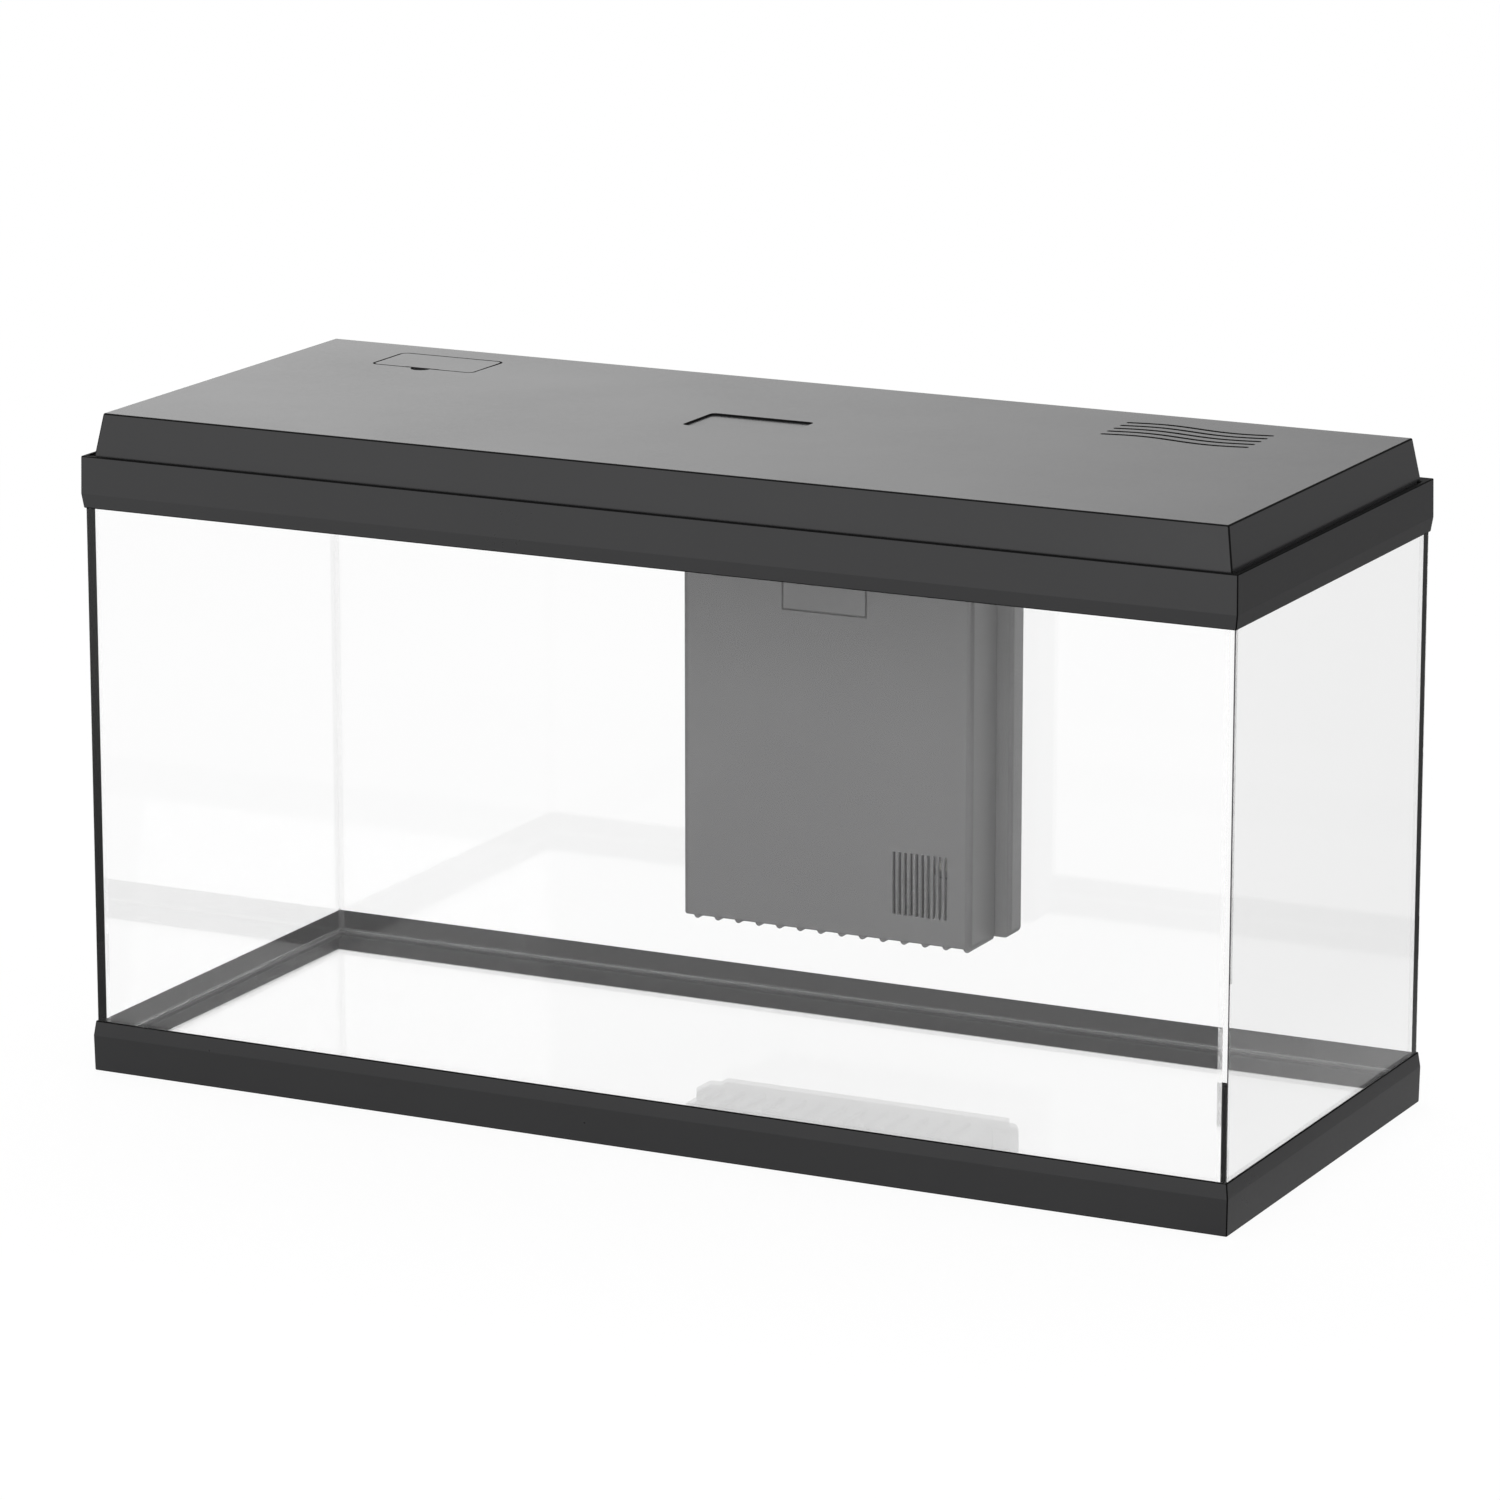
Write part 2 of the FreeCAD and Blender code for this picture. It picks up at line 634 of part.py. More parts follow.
def recess_block(margin, z0, z1):
    """The centre recess's rounded rectangle, grown by a margin, between two heights."""
    half_x = RECESS_LENGTH / 2 + margin
    half_y = RECESS_DEPTH_Y / 2 + margin
    x0 = RECESS_CENTRE_X - half_x
    x1 = RECESS_CENTRE_X + half_x
    y0 = RECESS_CENTRE_Y - half_y
    y1 = RECESS_CENTRE_Y + half_y
    return rounded_block(x0, x1, y0, y1, z0, z1, RECESS_CORNER + margin)


def flap_block(margin, z0, z1):
    """The flap's rounded rectangle, grown by a margin, between two heights."""
    x0 = FLAP_X0 - margin
    x1 = FLAP_X1 + margin
    y0 = FLAP_Y0 - margin
    y1 = FLAP_Y1 + margin
    return rounded_block(x0, x1, y0, y1, z0, z1, FLAP_CORNER + margin)


def finger_notch():
    """The half round in front of the flap where a fingertip goes."""
    base = Vector(FLAP_CENTRE_X, FLAP_Y0 - FLAP_GAP, HOOD_CEILING_Z - CUT_OVERSHOOT)
    return rod(FINGER_NOTCH_RADIUS, base, base + Vector(0, 0, 2 * CUT_OVERSHOOT))


def flap_ledge():
    """The ledge under the flap's front half that the closed flap rests on."""
    top = HOOD_CEILING_Z
    bottom = top - FLAP_LEDGE_THICKNESS
    ring = flap_block(FLAP_LEDGE_WIDTH, bottom, top)
    ring = ring.cut(flap_block(-FLAP_LEDGE_WIDTH, bottom, top))
    reach = FLAP_LEDGE_WIDTH + CUT_OVERSHOOT
    front_y = FLAP_Y0 + FLAP_LEDGE_LENGTH
    front = block(FLAP_X0 - reach, FLAP_X1 + reach, FLAP_Y0 - reach, front_y, bottom, top)
    return ring.common(front)


def flap_pivot_bosses():
    """Thicker places beside the opening that hold the flap's pivots."""
    half = FLAP_CHEEK_LENGTH / 2
    bosses = []
    for x0 in (FLAP_X0 - FLAP_GAP - FLAP_BOSS_WIDTH, FLAP_X1 + FLAP_GAP):
        x1 = x0 + FLAP_BOSS_WIDTH
        z0 = HOOD_CEILING_Z - FLAP_BOSS_DEPTH
        bosses.append(block(x0, x1, FLAP_PIVOT_Y - half, FLAP_PIVOT_Y + half, z0, HOOD_CEILING_Z))
    return bosses


def flap_pivot_rod(radius, reach):
    start = Vector(FLAP_X0 - reach, FLAP_PIVOT_Y, FLAP_PIVOT_Z)
    return rod(radius, start, Vector(FLAP_X1 + reach, FLAP_PIVOT_Y, FLAP_PIVOT_Z))


def wavy_slot(centre_y):
    """One vent slot: a strip of even width along one full wave, with round ends."""
    start_x = VENT_CENTRE_X - VENT_LENGTH / 2
    z = HOOD_CEILING_Z - CUT_OVERSHOOT
    sides = {1: [], -1: []}
    for step in range(VENT_CURVE_STEPS + 1):
        turn = 2 * math.pi * step / VENT_CURVE_STEPS
        slope = VENT_WAVE * 2 * math.pi / VENT_LENGTH * math.cos(turn)
        normal = Vector(-slope, 1, 0).normalize() * (VENT_WIDTH / 2)
        middle = Vector(start_x + VENT_LENGTH * step / VENT_CURVE_STEPS, 0, z)
        middle.y = centre_y + VENT_WAVE * math.sin(turn)
        for side in sides:
            sides[side].append(middle + normal * side)
    edges = []
    for side in sides:
        curve = Part.BSplineCurve()
        curve.interpolate(sides[side])
        edges.append(curve.toShape())
    for end, outward in ((0, -1), (-1, 1)):
        upper = sides[1][end]
        lower = sides[-1][end]
        across = upper - lower
        tip = (upper + lower) * 0.5 + Vector(across.y, -across.x, 0) * (outward * 0.5)
        edges.append(Part.Arc(upper, tip, lower).toShape())
    face = Part.Face(Part.Wire(Part.__sortEdges__(edges)))
    return face.extrude(Vector(0, 0, 2 * CUT_OVERSHOOT))


def vent_slots():
    first_y = VENT_CENTRE_Y - VENT_PITCH * (VENT_COUNT - 1) / 2
    return [wavy_slot(first_y + VENT_PITCH * number) for number in range(VENT_COUNT)]


def lamp_screw_places(z):
    places = []
    reach = LAMP_LENGTH / 2 - LAMP_SCREW_INSET
    for x in (-reach, 0, reach):
        for side in (-1, 1):
            places.append(Vector(x, LAMP_CENTRE_Y + side * LAMP_SCREW_REACH, z))
    return places


def lamp_screw_holes():
    """Holes through the lamp's flange and up into the hood's bosses."""
    radius = LAMP_SCREW_RADIUS + PIN_CLEARANCE
    depth = LAMP_SCREW_LENGTH + SEAT_CLEARANCE
    places = lamp_screw_places(LAMP_ROOF_Z)
    return [rod(radius, place, place + Vector(0, 0, depth)) for place in places]


def lamp_bosses():
    rise = Vector(0, 0, LAMP_BOSS_HEIGHT)
    return [rod(LAMP_BOSS_RADIUS, place, place + rise) for place in lamp_screw_places(LAMP_TOP_Z)]


def hood_shell():
    """Hood moulding with its flap opening, vents, recess, bosses and hinge lugs."""
    floor_pad = recess_block(HOOD_WALL, HOOD_CEILING_Z - RECESS_SINK, HOOD_CEILING_Z)
    body = joined([hood_tray(), floor_pad, flap_ledge()] + flap_pivot_bosses()
                  + lamp_bosses() + hood_lugs())
    opening = flap_block(FLAP_GAP, HOOD_CEILING_Z, HOOD_TOP_Z)
    recess = recess_block(0, HOOD_TOP_Z - RECESS_SINK, HOOD_TOP_Z)
    pivots = flap_pivot_rod(FLAP_PIVOT_RADIUS + PIN_CLEARANCE, FLAP_PIVOT_LENGTH + SEAT_CLEARANCE)
    pin_bores = [hinge_rod(side, HINGE_PIN_RADIUS + PIN_CLEARANCE) for side in (-1, 1)]
    cuts = [opening, recess, pivots, finger_notch(), cable_notch()]
    return without(body, cuts + pin_bores + vent_slots() + lamp_screw_holes())


def feeding_flap():
    """Flush flap that tips on two pivots near its rear edge."""
    plate = flap_block(0, FLAP_Z, HOOD_TOP_Z)
    half = FLAP_CHEEK_LENGTH / 2
    pieces = [plate]
    for x0 in (FLAP_X0, FLAP_X1 - FLAP_CHEEK_WIDTH):
        x1 = x0 + FLAP_CHEEK_WIDTH
        z0 = FLAP_Z - FLAP_CHEEK_DEPTH
        pieces.append(block(x0, x1, FLAP_PIVOT_Y - half, FLAP_PIVOT_Y + half, z0, FLAP_Z))
    for x0 in (FLAP_X0 - FLAP_PIVOT_LENGTH, FLAP_X1 - FLAP_CHEEK_WIDTH / 2):
        x1 = x0 + FLAP_PIVOT_LENGTH + FLAP_CHEEK_WIDTH / 2
        start = Vector(x0, FLAP_PIVOT_Y, FLAP_PIVOT_Z)
        pieces.append(rod(FLAP_PIVOT_RADIUS, start, Vector(x1, FLAP_PIVOT_Y, FLAP_PIVOT_Z)))
    pull_x = FLAP_CENTRE_X - PULL_EDGE_WIDTH / 2
    pull_y = FLAP_Y0 + PULL_EDGE_SINK
    pull = block(pull_x, pull_x + PULL_EDGE_WIDTH, FLAP_Y0, pull_y, FLAP_Z, HOOD_TOP_Z)
    return joined(pieces).cut(pull)


# ---- Lamp ----
def lamp_housing():
    """Channel open below, with a flange along each side at the top."""
    half_x = LAMP_LENGTH / 2
    half_y = LAMP_WIDTH / 2
    y0 = LAMP_CENTRE_Y - half_y
    y1 = LAMP_CENTRE_Y + half_y
    channel = block(-half_x, half_x, y0, y1, LAMP_BOTTOM_Z, LAMP_TOP_Z)
    flanges = block(-half_x, half_x, y0 - LAMP_FLANGE, y1 + LAMP_FLANGE, LAMP_ROOF_Z, LAMP_TOP_Z)
    lip_z = LAMP_BOTTOM_Z + LAMP_LIP
    hollow = block(-half_x, half_x, y0 + LAMP_WALL, y1 - LAMP_WALL, lip_z, LAMP_ROOF_Z)
    reach = LAMP_WALL + LAMP_LIP
    slot = block(-half_x, half_x, y0 + reach, y1 - reach, LAMP_BOTTOM_Z, lip_z)
    return without(joined([channel, flanges]), [hollow, slot] + lamp_screw_holes())


def lamp_board():
    half_x = LAMP_LENGTH / 2 - LAMP_BOARD_MARGIN
    half_y = LAMP_BOARD_WIDTH / 2
    z0 = LAMP_ROOF_Z - LAMP_BOARD_THICKNESS
    return block(-half_x, half_x, LAMP_CENTRE_Y - half_y, LAMP_CENTRE_Y + half_y, z0, LAMP_ROOF_Z)


def led_chips():
    """Two rows of light chips on the board."""
    z1 = LAMP_ROOF_Z - LAMP_BOARD_THICKNESS
    z0 = z1 - CHIP_HEIGHT
    half = CHIP_SIZE / 2
    first_x = CHIP_END_INSET - LAMP_LENGTH / 2
    pitch = -2 * first_x / (CHIP_COUNT - 1)
    chips = []
    for row in (-1, 1):
        y = LAMP_CENTRE_Y + row * CHIP_ROW_OFFSET
        for number in range(CHIP_COUNT):
            x = first_x + pitch * number
            chips.append(block(x - half, x + half, y - half, y + half, z0, z1))
    return Part.makeCompound(chips)


def lamp_lens():
    """Cover strip that lies on the channel's lips."""
    half_x = LAMP_LENGTH / 2
    half_y = LAMP_WIDTH / 2 - LAMP_WALL - SEAT_CLEARANCE
    z0 = LAMP_BOTTOM_Z + LAMP_LIP
    z1 = z0 + LAMP_LENS_THICKNESS
    return block(-half_x, half_x, LAMP_CENTRE_Y - half_y, LAMP_CENTRE_Y + half_y, z0, z1)


def lamp_end(side):
    x0, x1 = sorted((side * LAMP_LENGTH / 2, side * (LAMP_LENGTH / 2 + LAMP_CAP_THICKNESS)))
    half_y = LAMP_WIDTH / 2
    return block(x0, x1, LAMP_CENTRE_Y - half_y, LAMP_CENTRE_Y + half_y, LAMP_BOTTOM_Z, LAMP_TOP_Z)


def lamp_end_left():
    return lamp_end(-1)


def gland_centre():
    x = LAMP_LENGTH / 2 + LAMP_CAP_THICKNESS
    return Vector(x, LAMP_CENTRE_Y, (LAMP_BOTTOM_Z + LAMP_TOP_Z) / 2)


def lamp_end_right():
    """End cap with the hole that the cable gland opens into."""
    centre = gland_centre()
    hole = rod(GLAND_BORE, centre - Vector(LAMP_CAP_THICKNESS, 0, 0), centre)
    return lamp_end(1).cut(hole)


def lamp_gland():
    centre = gland_centre()
    end = centre + Vector(GLAND_LENGTH, 0, 0)
    return rod(GLAND_RADIUS, centre, end).cut(rod(GLAND_BORE, centre, end))


def lamp_screws():
    screws = []
    for seat in lamp_screw_places(LAMP_ROOF_Z):
        head = rod(LAMP_SCREW_HEAD_RADIUS, seat - Vector(0, 0, LAMP_SCREW_HEAD_HEIGHT), seat)
        shank = rod(LAMP_SCREW_RADIUS, seat, seat + Vector(0, 0, LAMP_SCREW_LENGTH))
        screws.append(joined([head, shank]))
    return Part.makeCompound(screws)


# ---- Filter box ----
def panel_window():
    """The gap in the front shell that the outlet panel fills."""
    half = PANEL_WIDTH / 2 + PANEL_GAP
    y1 = FILTER_FRONT_Y + FILTER_WALL
    x0 = PANEL_CENTRE_X - half
    return block(x0, x0 + 2 * half, FILTER_FRONT_Y, y1, PANEL_BOTTOM - PANEL_GAP, FILTER_TOP)


def grille_slots():
    first_x = FILTER_X1 - GRILLE_SIDE_INSET - GRILLE_PITCH * (GRILLE_SLOTS - 1) / 2
    half = GRILLE_SLOT_WIDTH / 2
    bottom = FILTER_BOTTOM + GRILLE_RISE
    top = bottom + GRILLE_HEIGHT
    slots = []
    for number in range(GRILLE_SLOTS):
        x = first_x + GRILLE_PITCH * number
        y1 = FILTER_FRONT_Y + FILTER_WALL
        slots.append(block(x - half, x + half, FILTER_FRONT_Y, y1, bottom, top))
    return slots


def filter_ribs():
    """Half-round ribs that run front to back under the box."""
    first_x = FILTER_X0 + RIB_LEFT_INSET
    pitch = (FILTER_X1 - RIB_RIGHT_INSET - first_x) / (RIB_COUNT - 1)
    ribs = []
    for number in range(RIB_COUNT):
        x = first_x + pitch * number
        z = FILTER_BOTTOM + RIB_RISE
        start = Vector(x, FILTER_FRONT_Y + RIB_MARGIN, z)
        ribs.append(rod(RIB_RADIUS, start, Vector(x, FILTER_SEAM_Y - RIB_MARGIN, z)))
    return ribs


def rounded_case(x0, x1, y0, y1, front_round, low_round):
    """A block as high as the filter with rounded upright front edges and low side edges."""
    body = block(x0, x1, y0, y1, FILTER_BOTTOM, FILTER_TOP)
    upright = [e for e in edges_along(body, Z_AXIS) if e.CenterOfMass.y < y0 + 1e-6]
    low = [e for e in edges_along(body, Y_AXIS) if e.CenterOfMass.z < FILTER_BOTTOM + 1e-6]
    return body.makeFillet(front_round, upright).common(body.makeFillet(low_round, low))


def filter_front():
    """Front shell, open at the back and top, with the intake grille and ribs."""
    case = rounded_case(FILTER_X0, FILTER_X1, FILTER_FRONT_Y, FILTER_SEAM_Y,
                        FILTER_FRONT_ROUND, FILTER_LOW_ROUND)
    body = joined([case] + filter_ribs())
    hollow = block(CHAMBER_X0, CHAMBER_X1, CHAMBER_Y0, FILTER_SEAM_Y, CHAMBER_Z, FILTER_TOP)
    return without(body, [hollow, panel_window()] + grille_slots())


def filter_back():
    """Back shell with a wide flange at its front whose hollow sides are open to the glass."""
    x0 = FILTER_X0 - FILTER_FLANGE
    x1 = FILTER_X1 + FILTER_FLANGE
    flange = rounded_case(x0, x1, FILTER_SEAM_Y, FLANGE_REAR_Y, FLANGE_FRONT_ROUND, FLANGE_LOW_ROUND)
    rear = block(FILTER_X0, FILTER_X1, FILTER_SEAM_Y, FILTER_REAR_Y, FILTER_BOTTOM, FILTER_TOP)
    body = joined([flange, rear])
    hollow = block(CHAMBER_X0, CHAMBER_X1, FILTER_SEAM_Y, CHAMBER_Y1, CHAMBER_Z, FILTER_TOP)
    pocket_y = FILTER_SEAM_Y + FILTER_WALL
    pocket_top = FILTER_TOP - FILTER_WALL
    pocket_bottom = FILTER_BOTTOM + FLANGE_LOW_ROUND
    left = block(x0 + FILTER_WALL, FILTER_X0, pocket_y, FLANGE_REAR_Y, pocket_bottom, pocket_top)
    right = block(FILTER_X1, x1 - FILTER_WALL, pocket_y, FLANGE_REAR_Y, pocket_bottom, pocket_top)
    return without(body, [hollow, left, right])


def fixing_pads():
    """Silicone discs that bond the back shell to the rear glass."""
    pads = []
    for x in (FILTER_X0 + PAD_INSET_X, FILTER_X1 - PAD_INSET_X):
        for z in (FILTER_BOTTOM + PAD_INSET_Z, FILTER_TOP - PAD_INSET_Z):
            start = Vector(x, FILTER_REAR_Y, z)
            pads.append(rod(PAD_RADIUS, start, start + Vector(0, PAD_THICKNESS, 0)))
    return Part.makeCompound(pads)


def chamber_divider():
    """Wall between the intake chamber and the media, slotted at its foot."""
    x1 = INTAKE_X
    top = FILTER_TOP - DIVIDER_TOP_GAP
    wall = block(DIVIDER_X, x1, CHAMBER_Y0, CHAMBER_Y1, CHAMBER_Z, top)
    first_y = (CHAMBER_Y0 + CHAMBER_Y1 - DIVIDER_SLOT_PITCH * (DIVIDER_SLOTS - 1)) / 2
    slots = []
    for number in range(DIVIDER_SLOTS):
        y = first_y + DIVIDER_SLOT_PITCH * number
        y0 = y - DIVIDER_SLOT_WIDTH / 2
        z0 = CHAMBER_Z + FILTER_WALL
        slots.append(block(DIVIDER_X, x1, y0, y0 + DIVIDER_SLOT_WIDTH, z0, z0 + DIVIDER_SLOT_HEIGHT))
    return without(wall, slots)


def slotted_floor(x0, x1, y0, y1, z0, z1, count, slot_width):
    """Evenly spread cuts that turn a floor between walls into bars."""
    pitch = (x1 - x0) / count
    cuts = []
    for number in range(count):
        centre = x0 + pitch * (number + 0.5)
        cuts.append(block(centre - slot_width / 2, centre + slot_width / 2, y0, y1, z0, z1))
    return cuts


def media_grid():
    """Barred shelf on four legs that carries the media."""
    top = GRID_Z + GRID_THICKNESS
    plate = block(MEDIA_X0, MEDIA_X1, MEDIA_Y0, MEDIA_Y1, GRID_Z, top)
    legs = []
    for x0 in (MEDIA_X0, MEDIA_X1 - GRID_LEG_SIZE):
        for y0 in (MEDIA_Y0, MEDIA_Y1 - GRID_LEG_SIZE):
            legs.append(block(x0, x0 + GRID_LEG_SIZE, y0, y0 + GRID_LEG_SIZE, CHAMBER_Z, GRID_Z))
    y0 = MEDIA_Y0 + GRID_LEG_SIZE
    y1 = MEDIA_Y1 - GRID_LEG_SIZE
    cuts = slotted_floor(MEDIA_X0, MEDIA_X1, y0, y1, GRID_Z, top, GRID_BARS, GRID_SLOT_WIDTH)
    return without(joined([plate] + legs), cuts)


def coarse_sponge():
    return block(MEDIA_X0, MEDIA_X1, MEDIA_Y0, MEDIA_Y1, COARSE_Z, COARSE_TOP_Z)


def fine_sponge():
    top = FINE_Z + FINE_SPONGE_HEIGHT
    return block(MEDIA_X0, MEDIA_X1, MEDIA_Y0, MEDIA_Y1, FINE_Z, top)


def media_basket():
    """Open-topped basket with a slotted floor, which the pump tray lies on."""
    body = block(MEDIA_X0, MEDIA_X1, MEDIA_Y0, MEDIA_Y1, BASKET_Z, TRAY_Z)
    x0 = MEDIA_X0 + BASKET_WALL
    x1 = MEDIA_X1 - BASKET_WALL
    y0 = MEDIA_Y0 + BASKET_WALL
    y1 = MEDIA_Y1 - BASKET_WALL
    floor_z = BASKET_Z + BASKET_WALL
    hollow = block(x0, x1, y0, y1, floor_z, TRAY_Z)
    cuts = slotted_floor(x0, x1, y0, y1, BASKET_Z, floor_z, BASKET_SLOTS, BASKET_SLOT_WIDTH)
    return without(body, [hollow] + cuts)


def ceramic_rings():
    """Rings of porous ceramic that stand in layers in the basket."""
    pitch = 2 * RING_RADIUS + RING_GAP
    columns = int((MEDIA_X1 - MEDIA_X0 - 2 * BASKET_WALL) / pitch)
    rows = int((MEDIA_Y1 - MEDIA_Y0 - 2 * BASKET_WALL) / pitch)
    layers = int((BASKET_HEIGHT - BASKET_WALL) / RING_HEIGHT)
    centre_x = (MEDIA_X0 + MEDIA_X1) / 2
    centre_y = (MEDIA_Y0 + MEDIA_Y1) / 2
    first_z = BASKET_Z + BASKET_WALL
    rings = []
    for layer in range(layers):
        for column in range(columns):
            for row in range(rows):
                x = centre_x + pitch * (column - (columns - 1) / 2)
                y = centre_y + pitch * (row - (rows - 1) / 2)
                start = Vector(x, y, first_z + RING_HEIGHT * layer)
                end = start + Vector(0, 0, RING_HEIGHT)
                rings.append(rod(RING_RADIUS, start, end).cut(rod(RING_BORE, start, end)))
    return Part.makeCompound(rings)


def pump_tray():
    """Plate over the basket, with the hole that the pump draws through."""
    plate = block(MEDIA_X0, MEDIA_X1, MEDIA_Y0, MEDIA_Y1, TRAY_Z, TRAY_TOP_Z)
    centre = Vector(INLET_END_X, PUMP_Y, TRAY_Z)
    return plate.cut(rod(TRAY_HOLE_RADIUS, centre, centre + Vector(0, 0, TRAY_THICKNESS)))


# ---- Pump ----
def on_pump_axis(x):
    return Vector(x, PUMP_Y, PUMP_Z)


def pump_motor():
    """Sealed motor block with the well that the rotor spins in."""
    y0 = PUMP_Y - MOTOR_WIDTH / 2
    y1 = PUMP_Y + MOTOR_WIDTH / 2
    z1 = MOTOR_Z + MOTOR_HEIGHT
    body = rounded_block(MOTOR_X, VOLUTE_X, y0, y1, MOTOR_Z, z1, MOTOR_ROUND, X_AXIS)
    well = rod(ROTOR_WELL_RADIUS, on_pump_axis(WELL_X), on_pump_axis(VOLUTE_X))
    shaft_seat = rod(SHAFT_RADIUS + PIN_CLEARANCE, on_pump_axis(MOTOR_X + SHAFT_SEAT_WALL),
                     on_pump_axis(WELL_X))
    return without(body, [well, shaft_seat])


def pump_volute():
    """Impeller chamber with its inlet, the shaft's front seat and the spout."""
    drum = rod(VOLUTE_RADIUS, on_pump_axis(VOLUTE_X), on_pump_axis(VOLUTE_END_X))
    inlet = rod(INLET_RADIUS, on_pump_axis(VOLUTE_END_X), on_pump_axis(INLET_END_X))
    axis_foot = Vector(PANEL_CENTRE_X, PUMP_Y, PUMP_Z)
    spout = rod(SPOUT_RADIUS, axis_foot, Vector(PANEL_CENTRE_X, PUMP_Y, SPOUT_TOP_Z))
    chamber = rod(CHAMBER_RADIUS, on_pump_axis(VOLUTE_X), on_pump_axis(CHAMBER_END_X))
    inlet_bore = rod(INLET_BORE, on_pump_axis(CHAMBER_END_X), on_pump_axis(INLET_END_X))
    spout_bore = rod(SPOUT_BORE, axis_foot, Vector(PANEL_CENTRE_X, PUMP_Y, SPOUT_TOP_Z))
    body = without(joined([drum, inlet, spout]), [chamber, inlet_bore, spout_bore])
    half = SPIDER_THICKNESS / 2
    y0 = PUMP_Y - INLET_RADIUS + PIN_CLEARANCE
    y1 = PUMP_Y + INLET_RADIUS - PIN_CLEARANCE
    spider = block(CHAMBER_END_X, VOLUTE_END_X, y0, y1, PUMP_Z - half, PUMP_Z + half)
    hub = rod(HUB_RADIUS, on_pump_axis(CHAMBER_END_X), on_pump_axis(VOLUTE_END_X))
    seat = rod(SHAFT_RADIUS + PIN_CLEARANCE, on_pump_axis(CHAMBER_END_X), on_pump_axis(VOLUTE_END_X))
    return joined([body, spider, hub]).cut(seat)


def impeller_shaft():
    """Ceramic shaft held in the motor's back wall and the inlet's spider."""
    start = on_pump_axis(MOTOR_X + SHAFT_SEAT_WALL + SEAT_CLEARANCE)
    return rod(SHAFT_RADIUS, start, on_pump_axis(VOLUTE_END_X))


def impeller():
    """Magnet rotor and its blades in one, turning on the fixed shaft."""
    blade_end = CHAMBER_END_X - ROTOR_END_GAP
    blade_start = blade_end - BLADE_WIDTH
    magnet = rod(ROTOR_RADIUS, on_pump_axis(ROTOR_X), on_pump_axis(VOLUTE_X))
    hub = rod(HUB_RADIUS, on_pump_axis(VOLUTE_X), on_pump_axis(blade_end))
    blades = []
    for number in range(BLADE_COUNT):
        half = BLADE_THICKNESS / 2
        y0 = PUMP_Y - half
        z1 = PUMP_Z + BLADE_RADIUS
        blade = block(blade_start, blade_end, y0, y0 + BLADE_THICKNESS, PUMP_Z, z1)
        blade.rotate(on_pump_axis(0), X_AXIS, 360.0 / BLADE_COUNT * number)
        blades.append(blade)
    bore = rod(SHAFT_RADIUS + ROTOR_BORE_CLEARANCE, on_pump_axis(ROTOR_X), on_pump_axis(blade_end))
    return joined([magnet, hub] + blades).cut(bore)


def pump_feet():
    feet = []
    for x in (MOTOR_X + FOOT_INSET, VOLUTE_X - FOOT_INSET):
        for side in (-1, 1):
            y = PUMP_Y + side * (MOTOR_WIDTH / 2 - FOOT_INSET)
            start = Vector(x, y, TRAY_TOP_Z)
            feet.append(rod(FOOT_RADIUS, start, start + Vector(0, 0, FOOT_HEIGHT)))
    return Part.makeCompound(feet)


# ---- Pump outlet ----
def bent_rod(radius, low_z, front_y):
    """A bar that rises from the spout and turns forward to the outlet."""
    foot = Vector(PANEL_CENTRE_X, PUMP_Y, low_z)
    bend_start = Vector(PANEL_CENTRE_X, PUMP_Y, SPOUT_TOP_Z)
    bend_end = Vector(PANEL_CENTRE_X, PUMP_Y - ELBOW_BEND, OUTLET_Z)
    centre = Vector(PANEL_CENTRE_X, PUMP_Y - ELBOW_BEND, SPOUT_TOP_Z)
    diagonal = ELBOW_BEND / math.sqrt(2)
    crown = centre + Vector(0, diagonal, diagonal)
    tip = Vector(PANEL_CENTRE_X, front_y, OUTLET_Z)
    path = Part.Wire([
        Part.LineSegment(foot, bend_start).toShape(),
        Part.Arc(bend_start, crown, bend_end).toShape(),
        Part.LineSegment(bend_end, tip).toShape(),
    ])
    ring = Part.Wire(Part.Circle(foot, Z_AXIS, radius).toShape())
    return path.makePipeShell([ring], True, True)


def outlet_elbow():
    low_z = PUMP_Z + VOLUTE_RADIUS + SEAT_CLEARANCE
    front_y = BALL_Y + BALL_RADIUS + SEAT_CLEARANCE
    outside = bent_rod(ELBOW_RADIUS, low_z, front_y)
    return outside.cut(bent_rod(SPOUT_RADIUS + PIN_CLEARANCE, low_z, front_y))


def outlet_panel():
    """Panel flush with the filter's front, lifted out with the nozzle collar on it."""
    half = PANEL_WIDTH / 2
    x0 = PANEL_CENTRE_X - half
    x1 = PANEL_CENTRE_X + half
    plate = block(x0, x1, FILTER_FRONT_Y, CHAMBER_Y0, PANEL_BOTTOM, FILTER_TOP)
    flange_y = CHAMBER_Y0 + PANEL_FLANGE_THICKNESS
    low = PANEL_BOTTOM - PANEL_FLANGE_DROP
    high = FILTER_TOP - PANEL_FLANGE_TOP_GAP
    flange = block(x0 - PANEL_FLANGE, x1 + PANEL_FLANGE, CHAMBER_Y0, flange_y, low, high)
    centre = Vector(PANEL_CENTRE_X, FILTER_FRONT_Y, OUTLET_Z)
    hole = rod(ELBOW_RADIUS + SEAT_CLEARANCE, centre, centre + Vector(0, CUT_OVERSHOOT, 0))
    return joined([plate, flange]).cut(hole)


def on_outlet_axis(y):
    return Vector(PANEL_CENTRE_X, y, OUTLET_Z)


